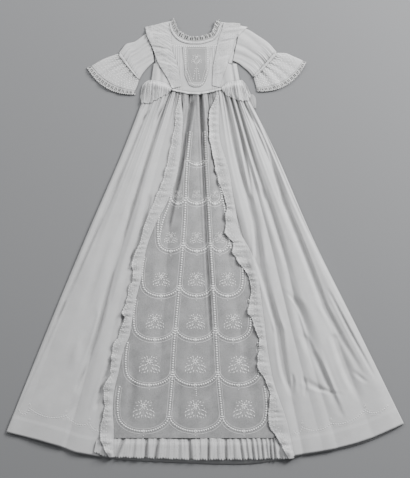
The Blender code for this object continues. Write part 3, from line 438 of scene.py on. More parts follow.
def through(knots, values, at):
    """Values at places along the knots, on a smooth curve; values may hold one curve a row."""
    knots = np.asarray(knots, float)
    values = np.asarray(values, float)
    at = np.asarray(at, float)
    slopes = knot_slopes(np.diff(values, axis=-1) / np.diff(knots))
    k = np.clip(np.searchsorted(knots, at, side="right") - 1, 0, len(knots) - 2)
    span = knots[k + 1] - knots[k]
    free = (at - knots[k]) / span
    t = np.clip(free, 0.0, 1.0)
    start, end = values[..., k], values[..., k + 1]
    lean_out, lean_in = slopes[..., k] * span, slopes[..., k + 1] * span
    curve = start * (1 + 2 * t) * (1 - t) ** 2 + end * t * t * (3 - 2 * t)
    curve = curve + lean_out * t * (1 - t) ** 2 + lean_in * t * t * (t - 1)
    return curve + np.where(free < 0, lean_out, lean_in) * (free - t)


def column(rows, name):
    """One named column of a table."""
    return [getattr(row, name) for row in rows]


def at_share(rows, name, share):
    """A named column's value, a share of the way along the table."""
    values = column(rows, name)
    return through(range(len(values)), values, np.asarray(share, float) * (len(values) - 1))


def line_down(places, x):
    """How far down a seam or hem runs at x."""
    return through(column(places, "x"), column(places, "down"), x)


def line_x(places, down):
    """Where a line runs at a height."""
    return through(column(places, "down"), column(places, "x"), down)


def between(table, one, other, at, share):
    """Places between two named edges of a table."""
    x = mix(at_share(table, one + "_x", at), at_share(table, other + "_x", at), share)
    down = mix(at_share(table, one + "_down", at), at_share(table, other + "_down", at), share)
    return x, down


def unit_grid(rows, cols):
    """Shares from 0 to 1 down the rows and across the columns of a grid."""
    return np.linspace(0, 1, rows)[:, None], np.linspace(0, 1, cols)[None, :]


def cell_middles(v, u):
    """Shares at the middle of each cell of a grid."""
    return np.broadcast_arrays((v[:-1] + v[1:]) / 2, (u[:, :-1] + u[:, 1:]) / 2)


def ripple(at, count, turn):
    """Uneven waves between 0 and 1 along a share of an edge."""
    uneven = 0.30 * np.sin(TAU * 1.7 * at + turn) + 0.22 * np.sin(TAU * 3.9 * at + 2 * turn)
    uneven = uneven + 0.10 * np.sin(TAU * 8.3 * at + 3 * turn)
    return 0.5 + 0.5 * np.sin(TAU * (count * at + uneven) + turn)


class HeightMap:
    """Top of everything laid so far."""

    def __init__(self):
        self.top = np.zeros((MAP_ROWS, MAP_COLUMNS), np.float32)
        self.swept = {}

    def lay(self, x, down, z):
        """Mark a sheet's heights, with its cells split finely."""
        spread = max(np.abs(np.diff(x, axis=1)).max(), np.abs(np.diff(down, axis=1)).max())
        run = max(np.abs(np.diff(down, axis=0)).max(), np.abs(np.diff(x, axis=0)).max())
        fine = [refine(refine(a, spread, 1), run, 0) for a in (x, down, z)]
        i = np.clip(np.rint(fine[1] + MAP_TOP).astype(int), 0, MAP_ROWS - 1)
        j = np.clip(np.rint(fine[0] + MAP_MIDDLE).astype(int), 0, MAP_COLUMNS - 1)
        np.maximum.at(self.top, (i.ravel(), j.ravel()), fine[2].ravel().astype(np.float32))
        self.swept = {}

    def swept_top(self, reach):
        """The heights, each raised to the highest within reach and then evened out."""
        if reach not in self.swept:
            swept = self.top
            for axis in (0, 1):
                swept = np.max([np.roll(swept, s, axis) for s in range(-reach, reach + 1)], axis=0)
            for axis in (0, 1):
                swept = np.mean([np.roll(swept, s, axis) for s in range(-reach, reach + 1)], axis=0)
            self.swept[reach] = swept
        return self.swept[reach]

    def read(self, x, down, reach=0):
        """Height at places, between the map's cells."""
        field = self.swept_top(reach) if reach else self.top
        fx = np.clip(np.asarray(x, float) + MAP_MIDDLE, 0, MAP_COLUMNS - 1.001)
        fy = np.clip(np.asarray(down, float) + MAP_TOP, 0, MAP_ROWS - 1.001)
        j, i = fx.astype(int), fy.astype(int)
        u, v = fx - j, fy - i
        upper = mix(field[i, j], field[i, j + 1], u)
        lower = mix(field[i + 1, j], field[i + 1, j + 1], u)
        return mix(upper, lower, v)


def refine(a, step, axis):
    """Split a grid's cells along one axis until they are under a millimetre."""
    parts = max(1, math.ceil(step / 0.8))
    if parts == 1:
        return a
    count = a.shape[axis]
    at = np.linspace(0, count - 1, (count - 1) * parts + 1)
    k = np.minimum(at.astype(int), count - 2)
    t = at - k
    if axis == 0:
        return mix(a[k], a[k + 1], t[:, None])
    return mix(a[:, k], a[:, k + 1], t[None, :])


heights = HeightMap()
collection = bpy.data.collections.new("gown_look")
bpy.context.scene.collection.children.link(collection)


def to_points(x, down, z):
    """Points in metres, one row each."""
    y = TOP_DOWN + LENGTH / 2 - down
    return np.stack([np.ravel(x), np.ravel(y), np.ravel(z)], axis=1) * MM


def build(name, points, faces, material, wall=0.0):
    """Object from points and faces, its body and its cloth wall."""
    used, faces_in = np.unique(faces, return_inverse=True)
    faces = faces_in.reshape(faces.shape)
    mesh = bpy.data.meshes.new(name)
    mesh.from_pydata(points[used].tolist(), [], faces.tolist())
    mesh.polygons.foreach_set("use_smooth", [True] * len(mesh.polygons))
    mesh.materials.append(MATERIALS[material])
    piece = bpy.data.objects.new(name, mesh)
    collection.objects.link(piece)
    if wall:
        shell = piece.modifiers.new("cloth wall", "SOLIDIFY")
        shell.thickness = wall * MM
        shell.offset = -1.0
    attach(piece, "root")
    return piece


def quads_of(rows, cols, closed=False):
    """Corner numbers of a grid's cells, facing up."""
    index = np.arange(rows * cols).reshape(rows, cols)
    if closed:
        index = np.concatenate([index, index[:, :1]], axis=1)
    return np.stack([index[:-1, :-1], index[1:, :-1], index[1:, 1:], index[:-1, 1:]], axis=-1)


def cloth(name, x, down, z, material, keep=None, wall=CLOTH):
    """A sheet of cloth whose top runs through a grid, laid on the map of heights."""
    x, down, z = np.broadcast_arrays(x, down, z)
    points = to_points(x, down, z)
    quads = quads_of(*x.shape)
    quads = quads[keep] if keep is not None else quads.reshape(-1, 4)
    one = points[quads[:, 2]] - points[quads[:, 0]]
    other = points[quads[:, 3]] - points[quads[:, 1]]
    if (one[:, 0] * other[:, 1] - one[:, 1] * other[:, 0]).sum() < 0:
        quads = quads[:, ::-1]
    piece = build("look_" + name, points, quads, material, wall)
    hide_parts(name)
    heights.lay(x, down, z)
    return piece


class Stitches:
    """Raised needlework, drawn on the map of heights and joined into one piece."""

    def __init__(self):
        self.points = []
        self.faces = []
        self.count = 0

    def add(self, x, down, rise, faces):
        """Add a patch whose points stand at rises over the cloth."""
        x, down, rise = (np.asarray(a, float).ravel() for a in (x, down, rise))
        self.points.append(to_points(x, down, heights.read(x, down) + rise))
        self.faces.append(np.asarray(faces, int) + self.count)
        self.count += len(x)

    def dome(self, x, down, length, width, turn=0.0, rise=0.7, sides=6):
        """A padded stitch: a low oval dome, turned by degrees."""
        angles = np.arange(sides) * TAU / sides
        shares = np.concatenate([np.ones(sides), np.full(sides, 0.62), [0.0]])
        steps = np.concatenate([angles, angles, [0.0]])
        lift = np.concatenate([np.full(sides, -0.15), np.full(sides, 0.72 * rise), [rise]])
        along, across = np.cos(steps) * shares * length, np.sin(steps) * shares * width
        c, s = math.cos(math.radians(turn)), math.sin(math.radians(turn))
        faces = []
        for k in range(sides):
            n = (k + 1) % sides
            faces += [(n, k, sides + k), (n, sides + k, sides + n), (sides + n, sides + k, 2 * sides)]
        self.add(x + along * c - across * s, down + along * s + across * c, lift, faces)

    def ring(self, x, down, radius, width, rise=0.7, sides=12):
        """A stitched round hole's rim."""
        angles = np.arange(sides) * TAU / sides
        radii = np.concatenate([np.full(sides, r) for r in (radius - width, radius, radius + width)])
        lift = np.concatenate([np.full(sides, -0.1), np.full(sides, rise), np.full(sides, -0.1)])
        steps = np.tile(angles, 3)
        faces = []
        for k in range(sides):
            n = (k + 1) % sides
            for r in (0, sides):
                faces += [(r + k, r + n, r + sides + n), (r + k, r + sides + n, r + sides + k)]
        self.add(x + np.cos(steps) * radii, down + np.sin(steps) * radii, lift, faces)

    def cord(self, x, down, width, rise=0.45):
        """A stitched line along a path."""
        x, down = np.asarray(x, float), np.asarray(down, float)
        dx, dy = np.gradient(x), np.gradient(down)
        size = np.hypot(dx, dy) + 1e-9
        nx, ny = -dy / size * width / 2, dx / size * width / 2
        px = np.stack([x - nx, x, x + nx], axis=1)
        py = np.stack([down - ny, down, down + ny], axis=1)
        lift = np.tile([-0.1, rise, -0.1], (len(x), 1))
        faces = []
        for k in range(len(x) - 1):
            a, b = 3 * k, 3 * k + 3
            for e in (0, 1):
                faces += [(a + e, a + e + 1, b + e + 1), (a + e, b + e + 1, b + e)]
        self.add(px, py, lift, faces)

    def beads(self, x, down, spacing, length, width, rise=0.8):
        """Domes in a row along a path, turned to follow it."""
        x, down, turn = spaced(x, down, spacing)
        for k in range(len(x)):
            self.dome(x[k], down[k], length, width, turn[k], rise)

    def finish(self, name, material):
        """Join the stitches into one piece."""
        points = np.concatenate(self.points)
        faces = np.concatenate(self.faces)
        return build(name, points, faces, material)


def spaced(x, down, spacing):
    """Places evenly along a path, and the path's turn at each, in degrees."""
    x, down = np.asarray(x, float), np.asarray(down, float)
    run = np.concatenate([[0.0], np.cumsum(np.hypot(np.diff(x), np.diff(down)))])
    count = max(2, int(round(run[-1] / spacing)) + 1)
    at = np.linspace(0, run[-1], count)
    px, py = np.interp(at, run, x), np.interp(at, run, down)
    turn = np.degrees(np.arctan2(np.gradient(py), np.gradient(px)))
    return px, py, turn


def beside(x, down, offset):
    """The path at a distance to one side of another."""
    dx, dy = np.gradient(x), np.gradient(down)
    size = np.hypot(dx, dy) + 1e-9
    return x - dy / size * offset, down + dx / size * offset


# Materials
def new_material(name, colour, roughness, sheen):
    """Cotton of one colour, with the node tree to add to."""
    material = bpy.data.materials.new(name)
    material.use_nodes = True
    tree = material.node_tree
    shader = tree.nodes["Principled BSDF"]
    shader.inputs["Base Color"].default_value = (*colour, 1.0)
    shader.inputs["Roughness"].default_value = roughness
    shader.inputs["Specular IOR Level"].default_value = 0.25
    shader.inputs["Sheen Weight"].default_value = sheen
    shader.inputs["Sheen Roughness"].default_value = 0.5
    return material, tree, shader


def noise_node(tree, coords, scale, detail):
    """A noise texture in the cloth's own space."""
    noise = tree.nodes.new("ShaderNodeTexNoise")
    noise.inputs["Scale"].default_value = scale
    noise.inputs["Detail"].default_value = detail
    tree.links.new(coords, noise.inputs["Vector"])
    return noise.outputs["Fac"]


def wave_node(tree, coords, direction, scale):
    """Threads that run one way."""
    wave = tree.nodes.new("ShaderNodeTexWave")
    wave.bands_direction = direction
    wave.inputs["Scale"].default_value = scale
    wave.inputs["Distortion"].default_value = 1.2
    wave.inputs["Detail"].default_value = 1.0
    tree.links.new(coords, wave.inputs["Vector"])
    return wave.outputs["Fac"]


def math_node(tree, operation, a, b):
    """A sum or product of two values."""
    node = tree.nodes.new("ShaderNodeMath")
    node.operation = operation
    for socket, value in zip(node.inputs, (a, b)):
        if isinstance(value, float):
            socket.default_value = value
        else:
            tree.links.new(value, socket)
    return node.outputs[0]


def ramp_node(tree, value, low, high):
    """Colours between two ends, each a place and its colour."""
    node = tree.nodes.new("ShaderNodeValToRGB")
    for element, (place, colour) in zip(node.color_ramp.elements, (low, high)):
        element.position = place
        element.color = (*colour, 1.0)
    tree.links.new(value, node.inputs["Fac"])
    return node.outputs["Color"]


def multiply_node(tree, a, b):
    """One colour times another."""
    blend = tree.nodes.new("ShaderNodeMix")
    blend.data_type = "RGBA"
    blend.blend_type = "MULTIPLY"
    blend.inputs["Factor"].default_value = 1.0
    tree.links.new(a, blend.inputs["A"])
    tree.links.new(b, blend.inputs["B"])
    return blend.outputs["Result"]


def relief(tree, shader, height, strength, distance):
    """Fine surface relief from a value."""
    node = tree.nodes.new("ShaderNodeBump")
    node.inputs["Strength"].default_value = strength
    node.inputs["Distance"].default_value = distance
    tree.links.new(height, node.inputs["Height"])
    tree.links.new(node.outputs["Normal"], shader.inputs["Normal"])


def cotton(name, colour, thin, thread=260.0, bump=0.25, spots=0.0, spot_scale=230.0):
    """White cotton: a plain weave, cloudy where it is thin, and pricked with small eyelets; its colour
    carries painted shade in its creases.
    """
    material, tree, shader = new_material(name, colour, COTTON_ROUGHNESS, COTTON_SHEEN)
    coords = tree.nodes.new("ShaderNodeTexCoord").outputs["Object"]
    clouds = math_node(tree, "MULTIPLY", noise_node(tree, coords, 38.0, 3.0), 0.7)
    grain = math_node(tree, "MULTIPLY", noise_node(tree, coords, 420.0, 2.0), 0.5)
    dark = [c * (1 - thin) for c in colour]
    light = [min(BRIGHTEST, c * (1 + thin * 0.5)) for c in colour]
    tone = ramp_node(tree, math_node(tree, "ADD", clouds, grain), (0.35, dark), (0.85, light))
    warp = wave_node(tree, coords, "X", thread)
    weft = wave_node(tree, coords, "Y", thread)
    height = math_node(tree, "ADD", warp, weft)
    if spots:
        cells = tree.nodes.new("ShaderNodeTexVoronoi")
        cells.inputs["Scale"].default_value = spot_scale
        cells.inputs["Randomness"].default_value = 0.55
        tree.links.new(coords, cells.inputs["Vector"])
        dark, light = (1 - spots,) * 3, (1.0,) * 3
        hole = ramp_node(tree, cells.outputs["Distance"], (0.16, dark), (0.34, light))
        tone = multiply_node(tree, tone, hole)
        height = math_node(tree, "ADD", height, math_node(tree, "MULTIPLY", hole, 2.5))
    # painted shade: ambient occlusion darkens the cotton's colour in its creases and under overlapping
    # layers
    painted_crevice_shade = tree.nodes.new("ShaderNodeAmbientOcclusion")
    painted_crevice_shade.samples = 6
    painted_crevice_shade.inputs["Distance"].default_value = 0.010
    tree.links.new(tone, painted_crevice_shade.inputs["Color"])
    tree.links.new(painted_crevice_shade.outputs["Color"], shader.inputs["Base Color"])
    relief(tree, shader, height, bump, 0.0004)
    return material


def darken_middle(material, middle, half, foot):
    """A thinner, darker ground between the plastron's rows of beads."""
    tree = material.node_tree
    shader = tree.nodes["Principled BSDF"]
    coords = tree.nodes.new("ShaderNodeTexCoord").outputs["Object"]
    place = tree.nodes.new("ShaderNodeSeparateXYZ")
    tree.links.new(coords, place.inputs[0])
    off = math_node(tree, "ABSOLUTE", math_node(tree, "SUBTRACT", place.outputs["X"], middle), 0.0)
    side = math_node(tree, "GREATER_THAN", off, half)
    low = math_node(tree, "LESS_THAN", place.outputs["Y"], foot)
    light = math_node(tree, "MAXIMUM", side, low)
    shade = math_node(tree, "ADD", math_node(tree, "MULTIPLY", light, 1 - INSET_SHADE), INSET_SHADE)
    source = shader.inputs["Base Color"].links[0].from_socket
    tree.links.new(multiply_node(tree, source, shade), shader.inputs["Base Color"])


def thread_material(name, colour):
    """Bright satin-stitch thread with fine strands."""
    material, tree, shader = new_material(name, colour, THREAD_ROUGHNESS, THREAD_SHEEN)
    coords = tree.nodes.new("ShaderNodeTexCoord").outputs["Object"]
    relief(tree, shader, wave_node(tree, coords, "DIAGONAL", 700.0), 0.3, 0.0003)
    return material


MATERIALS = {
    "plain": cotton("plain_cotton_look", (0.70, 0.70, 0.702), 0.08),
    "panel": cotton(
        "panel_cotton_look", (0.44, 0.44, 0.443), 0.30, bump=0.4, spots=0.22, spot_scale=260.0
    ),
    "work": cotton("embroidered_cotton_look", (0.72, 0.72, 0.722), 0.14, spots=0.30),
    "inset": cotton("inset_cotton_look", (0.62, 0.62, 0.622), 0.16, spots=0.25, spot_scale=330.0),
    # painted shade: the back is the same white cotton as the front, made darker because it lies lower,
    # under the front layers
    "back": cotton("back_cotton_painted_shade_look", (0.52, 0.52, 0.523), 0.07),
    "lace": cotton("lace_thread_look", (0.72, 0.72, 0.715), 0.12, thread=400.0, bump=0.4),
    "thread": thread_material("satin_thread_look", (0.93, 0.93, 0.925)),
    "line": thread_material("fine_line_look", (0.84, 0.84, 0.84)),
}
darken_middle(MATERIALS["inset"], *INSET_GROUND)


# Skirt
def fold_field(folds, x, down):
    """Depth of all the folds at each place, with a soft ridge on both sides of a valley."""
    depth = np.zeros_like(x)
    for fold in folds:
        downs = (fold.down1, fold.down2, fold.down3)
        line = through(downs, (fold.x1, fold.x2, fold.x3), down)
        strength = through(downs, (fold.depth1, fold.depth2, fold.depth3), down)
        run_out = FOLD_END * (fold.down3 - fold.down1)
        ends = smooth((down - fold.down1) / run_out + 1) * smooth((fold.down3 - down) / run_out + 1)
        t = (x - line) / np.where(x < line, fold.left, fold.right)
        valley = 1 / (1 + np.abs(t) ** 3)
        shoulder = np.exp(-((np.abs(t) - 2.2) ** 2))
        depth += strength * ends * (FOLD_STRENGTH * valley - FOLD_SHOULDER * shoulder)
    return depth


def crease_grid(creases, hem, rows, cols, lowest=LENGTH):
    """Places over a panel and the height of its main creases, sharp below and round above."""
    v = np.linspace(0, 1, rows)
    tops = line_down(WAIST_SEAM, column(creases, "waist")) + 0.15
    feet = line_down(hem, column(creases, "hem"))
    down = np.minimum(mix(tops[None, :], feet[None, :], v[:, None]), lowest)
    x, rise = np.empty_like(down), np.empty_like(down)
    for k, crease in enumerate(creases):
        run = (tops[k], *STATIONS, feet[k])
        x[:, k] = through(run, crease[:5], down[:, k])
        rise[:, k] = through((tops[k], STATIONS[1], feet[k]), crease[5:], down[:, k])
    middle = np.array(column(creases, "middle"), float)
    even = np.linspace(middle[0], middle[-1], cols)
    u = np.interp(even, middle, np.arange(len(creases)))
    k = np.minimum(u.astype(int), len(creases) - 2)
    t = u - k
    gx = mix(x[:, k], x[:, k + 1], t)
    gd = mix(down[:, k], down[:, k + 1], t)
    first, last = rise[:, k], rise[:, k + 1]
    up = np.where(first < last, 1 - (1 - t) ** 1.7, t ** 1.7)
    gz = mix(first, last, up)
    return gx, gd, gz, np.linspace(0, 1, cols)[None, :], v[:, None]


def gathers(x, down, share, count, turn, longest):
    """Gathers that fan out from the waist seam, the small ones short and the broad ones long."""
    below = down - line_down(WAIST_SEAM, x)
    length = longest * (0.35 + 0.65 * ripple(share, count * 0.37, turn + 1.0))
    small = 1.6 * ripple(share, count, turn) ** 1.5 + 0.9 * ripple(share, count * 1.83, turn + 2.0)
    broad = 1.1 * ripple(share, count * 0.52, turn + 3.0) ** 1.5
    near, far = np.exp(-((below / length) ** 2)), np.exp(-((below / (2.6 * longest)) ** 2))
    return small * near + broad * far


def wrinkles(x, down):
    """The faint unevenness of laid cloth."""
    slow = np.sin(x / 23 + 1.3 * np.sin(down / 61)) * np.sin(down / 83 + x / 57)
    fine = np.sin(x / 9.1 + 1.7 * np.sin(down / 47) + 0.6) * np.sin(down / 39 + x / 31)
    slant = np.sin((x + 0.6 * down) / 17 + 2.1 * np.sin(down / 71)) * np.sin((down - 0.5 * x) / 29)
    return 0.55 * slow + 0.18 * fine + 0.30 * slant


def make_skirt_panel(name, creases, folds, hem, rows, cols, count, turn, longest, material,
                     lowest=LENGTH):
    """One front panel of the skirt, with its folds and gathers and, at full length, a hem band."""
    x, down, rise, share, v = crease_grid(creases, hem, rows, cols, lowest)
    edges = smooth(share / SIDE_SHARE) * smooth((1 - share) / SIDE_SHARE)
    lift = PANEL_RISE if material == "panel" else RISE
    z = FRONT_HEIGHT + rise * lift - fold_field(folds, x, down) + wrinkles(x, down) * edges
    z = np.maximum(z + gathers(x, down, share, count, turn, longest), LOWEST_FRONT)
    if lowest == LENGTH:
        z = z + HEM_STEP * smooth((v - HEM_BAND) / HEM_STEP_RUN)
    return cloth(name, x, down, z, material)


def make_back():
    """The skirt's back with soft creases, the bodice's back and a glimpse of a frill's back, in a
    darker cotton painted as the shade under the front.
    """
    v, s = unit_grid(80, 60)
    top_x = mix(BACK_WAIST_LEFT, BACK_WAIST_RIGHT, s)
    foot_x = mix(-FOOT_HALF, FOOT_HALF, s)
    down = mix(line_down(WAIST_SEAM, top_x) + 0.3, line_down(BACK_HEM, foot_x), v)
    x = mix(line_x(BACK_LEFT, down), line_x(BACK_RIGHT, down), s)
    crease = ripple(s + 0.05 * v, 9.0, 0.7) ** 2
    z = BACK_HEIGHT + 0.55 * crease * smooth(s / 0.04) * smooth((1 - s) / 0.04)
    skirt = cloth("skirt_back", x, down, z, "back")

    x, down, v, s = bodice_places(40, 60, 0.4)
    z = BACK_HEIGHT + 0.4 * ripple(s, 11.0, 1.9) * smooth((v - 0.45) / 0.5)
    bodice = cloth("bodice_back", x, down, z, "back")

    v, s = unit_grid(24, 18)
    x = mix(at_share(BACK_FRILL_LEFT, "x", v), at_share(BACK_FRILL_RIGHT, "x", v), s)
    down = mix(at_share(BACK_FRILL_LEFT, "down", v), at_share(BACK_FRILL_RIGHT, "down", v), s)
    z = BACK_HEIGHT + 0.7 * ripple(s, 2.4, 0.5) * v
    frill = cloth("waist_frill_right_back", x, down, z, "back")


def armhole_x(line, down):
    """Where the straight armhole line runs at a height."""
    return mix(line[0].x, line[1].x, (down - line[0].down) / (line[1].down - line[0].down))


def bodice_edges(down):
    """The bodice's left and right edges at a height."""
    waist = line_down(WAIST_SEAM, BODICE_WAIST_LEFT)
    share = (down - UNDERARM_DOWN) / (waist - UNDERARM_DOWN)
    above = down < UNDERARM_DOWN
    left_arm = armhole_x(LEFT_ARMHOLE, down) + ARMHOLE_INWARD
    right_arm = armhole_x(RIGHT_ARMHOLE, down) - ARMHOLE_INWARD
    left = np.where(above, left_arm, mix(LEFT_SIDE_SEAM, BODICE_WAIST_LEFT, share))
    right = np.where(above, right_arm, mix(RIGHT_SIDE_SEAM, BODICE_WAIST_RIGHT, share))
    return left, right


def bodice_places(rows, cols, inward):
    """Places over the bodice, from the shoulders and neckline down to the waist."""
    share = np.linspace(0, 1, 17)
    neck_x, neck_down = at_share(NECKLINE, "seam_x", share), at_share(NECKLINE, "seam_down", share)
    tops_x = np.concatenate([column(LEFT_SHOULDER, "x"), neck_x, column(RIGHT_SHOULDER, "x")])
    tops_down = np.concatenate(
        [column(LEFT_SHOULDER, "down"), neck_down, column(RIGHT_SHOULDER, "down")]
    )
    knots = np.arange(len(tops_x))
    at = np.linspace(0, len(tops_x) - 1, cols)
    top_x, top_down = np.interp(at, knots, tops_x), np.interp(at, knots, tops_down) + inward
    left, right = bodice_edges(top_down)
    edge = np.clip((top_x - left) / (right - left), 0.0, 1.0)
    waist = (at / at[-1] + edge) / 2
    waist_x = mix(BODICE_WAIST_LEFT, BODICE_WAIST_RIGHT, waist)
    v = np.linspace(0, 1, rows)[:, None]
    down = mix(top_down[None, :], (line_down(WAIST_SEAM, waist_x) - 0.3)[None, :], v)
    left, right = bodice_edges(down)
    across = mix(edge[None, :], waist[None, :], v)
    return mix(left, right, across), down, v, across


def make_bodice():
    """The bodice front with its tucks and the gathers over the waist."""
    x, down, v, s = bodice_places(84, 160, 0.0)
    swell = 2.2 * np.sin(math.pi * np.minimum(v + 0.1, 1.0)) * np.sin(math.pi * s)
    tucks = np.zeros_like(x)
    for tuck in TUCKS:
        tucks += 0.8 * np.exp(-(((x - tuck) / 1.1) ** 2)) * smooth((down - 60) / 10)
    side = smooth((np.abs(s - 0.5) - 0.30) / 0.08)
    folds = 2.2 * ripple(s, 13.0, 0.4) * smooth((v - 0.35) / 0.5) * side
    z = FRONT_HEIGHT + 0.3 + swell + tucks + folds + 0.3 * wrinkles(x, down)
    front = cloth("bodice_front", x, down, z, "plain")


def make_inset():
    """The embroidered plastron."""
    v, u = unit_grid(70, 50)
    left = INSET_LEFT + INSET_TAPER * v
    right = INSET_RIGHT - INSET_TAPER * v * 1.5
    foot = INSET_FOOT - INSET_FOOT_ROUND * np.abs(2 * u - 1) ** 3
    x, down = mix(left, right, u), mix(INSET_TOP, foot, v)
    z = heights.read(x, down, 3) + GAP + CLOTH + 0.15 * wrinkles(x, down)
    return cloth("bodice_inset", x, down, z, "inset")


def beads_or_cord(work, x, down, width, bead):
    """A stitched line of some width along a path, or where the width is 0 a row of beads."""
    if width:
        work.cord(x, down, width, 0.4)
    else:
        work.beads(x, down, *bead)


def make_inset_work():
    """The plastron's border of beads, its yoke line and its flower."""
    work = Stitches()
    t = np.linspace(-1, 1, 61)
    away = np.abs(t)
    for grow, width in ((0.0, 0.0), (5.0, 0.8), (-5.0, 0.7)):
        side = np.sign(t) * (INSET_HALF + grow) * np.minimum(1.0, 2.4 * away) ** 0.5
        x = INSET_MIDDLE + side - 1.5 * away + 1.5
        foot = INSET_WORK_FOOT + grow
        bowl = foot - INSET_BOWL * (away / BOWL_SHARE) ** 2
        straight = mix(foot - INSET_BOWL, INSET_WORK_TOP, (away - BOWL_SHARE) / (1 - BOWL_SHARE))
        beads_or_cord(work, x, np.where(away > BOWL_SHARE, straight, bowl), width, BORDER_BEADS)
    x = np.linspace(YOKE_LEFT, YOKE_RIGHT, 40)
    for drop, width in ((0.0, 0.0), (4.0, 0.8), (-4.0, 0.8)):
        beads_or_cord(work, x, YOKE_DOWN + drop - 0.0012 * (x + 19) ** 2, width, YOKE_BEADS)
    add_sprig(work, INSET_MIDDLE, 92.0, 13.0)
    step = np.linspace(-1, 1, 15)
    for reach, rise in ((7.0, 10.0), (9.0, 14.0)):
        work.cord(INSET_MIDDLE + reach * step, 108.0 - rise * np.abs(step), 0.8, 0.5)
    for k in range(5):
        for side in (-1, 1):
            work.dome(INSET_MIDDLE + side * (3 + k), 116 + 5.5 * k, 2.0, 0.9, side * 50, 0.7)
    work.cord(np.full(61, INSET_MIDDLE), np.linspace(100, 142, 61), 0.8, 0.5)
    return work.finish("bodice_whitework", "thread")


# Lace
def lace_keep(along, out, repeats):
    """Which cells of a lace strip are thread: a band, bars, rings and a scalloped edge."""
    a = (along * repeats) % 1.0
    half = (along * repeats * 2) % 1.0
    band = out < 0.17
    bars = np.abs(a - 0.5) > 0.41
    cross = np.abs(np.abs(a - 0.5) * 1.7 - np.abs(out - 0.45) * 1.5) < 0.10
    ring = np.abs(np.hypot((a - 0.5) * 1.35, (out - 0.45) * 1.25) - 0.24) < 0.085
    top = 0.80 + 0.17 * np.abs(np.sin(math.pi * half))
    edge = (out > top - 0.17) & (out < top)
    picot = (np.abs(half - 0.5) < 0.16) & (out >= top - 0.02) & (out < top + 0.04)
    return (band | bars | cross | ring | edge | picot) & (out < top + 0.04)


def make_lace(name, sewn, free, height, repeats, cols, rows):
    """A strip of cut lace between two edges."""
    v, u = unit_grid(rows, cols)
    (sewn_x, sewn_down), (free_x, free_down) = sewn(u), free(u)
    x, down = mix(sewn_x, free_x, v), mix(sewn_down, free_down, v)
    out, along = cell_middles(v, u)
    piece = cloth(name, x, down, height(u, v), "lace", lace_keep(along, out, repeats))


def neck_edges(inward=0.0):
    """The neckline's seam and its lace's edge, as paths."""
    def sewn(u):
        return at_share(NECKLINE, "seam_x", u), at_share(NECKLINE, "seam_down", u) - inward

    def free(u):
        return at_share(NECKLINE, "lace_x", u), at_share(NECKLINE, "lace_down", u)

    return sewn, free


def make_neck_lace():
    """Both halves of the neck lace."""
    def under(u, v):
        return 0.7 + 0.3 * ripple(u, 12, 0.3) * v

    def upper(u, v):
        return 2.5 + 2.6 * ripple(u, 13, 1.1) * v + 1.0 * v

    sewn, free = neck_edges(0.4)
    make_lace("neck_lace_back", sewn, free, under, 15, 210, 18)
    make_lace("neck_lace_front", sewn, free, upper, 15, 300, 24)


def ring_places(rings, along, across, side):
    """Places on a flattened tube, some way along it and across it."""
    top_x, top_d = at_share(rings, "top_x", along), at_share(rings, "top_down", along)
    low_x, low_d = at_share(rings, "low_x", along), at_share(rings, "low_down", along)
    run_x, run_d = low_x - top_x, low_d - top_d
    size = np.hypot(run_x, run_d)
    bow = at_share(rings, "bow", along) * 4 * across * (1 - across) * side
    x = mix(top_x, low_x, across) + run_d / size * bow
    return x, mix(top_d, low_d, across) - run_x / size * bow


def ray_field(rays, along, across):
    """Depth of the folds that run along a tube."""
    depth = np.zeros(np.broadcast(along, across).shape)
    for ray in rays:
        t = (across - mix(ray.start, ray.end, along)) / ray.width
        depth += mix(ray.depth_start, ray.depth_end, along) / (1 + np.abs(t) ** 2.4)
    return depth


def tube_fullness(across):
    """How full a flattened tube is: 1 but for its rounded sides."""
    return np.sqrt(np.clip(1 - np.abs(2 * across - 1) ** 7, 0, 1))


def make_tube(name, rings, rays, side, rows, cols, gather, gather_count, material):
    """A flattened sleeve or cuff, all round, with folds on its upper layer."""
    along, upper = unit_grid(rows, cols)
    under = np.linspace(1, 0, cols // 2)[None, 1:-1]
    full = tube_fullness(upper)
    x, down = ring_places(rings, along, upper, side)
    fine = 1.5 * ripple(upper, gather_count, side * 1.3) * gather(along)
    fine = fine + 0.6 * ripple(upper, gather_count * 2.2, side * 0.6) * gather(along)
    rise = TUBE_RISE + fine - ray_field(rays, along, upper) + 0.35 * wrinkles(x, down)
    z_top = np.maximum(TUBE_MIDDLE + rise * full, TUBE_MIDDLE + 0.6 * full)
    x_low, down_low = ring_places(rings, along, under, side)
    z_low = np.broadcast_to(TUBE_MIDDLE - TUBE_DROP * tube_fullness(under), x_low.shape)
    layers = ((x, x_low), (down, down_low), (z_top, z_low))
    grid = [np.concatenate(pair, axis=1) for pair in layers]
    quads = quads_of(*grid[0].shape, closed=True).reshape(-1, 4)
    if side > 0:
        quads = quads[:, ::-1]
    piece = build("look_" + name, to_points(*grid), quads, material, CLOTH)
    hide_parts(name)
    heights.lay(x, down, z_top)
    return piece


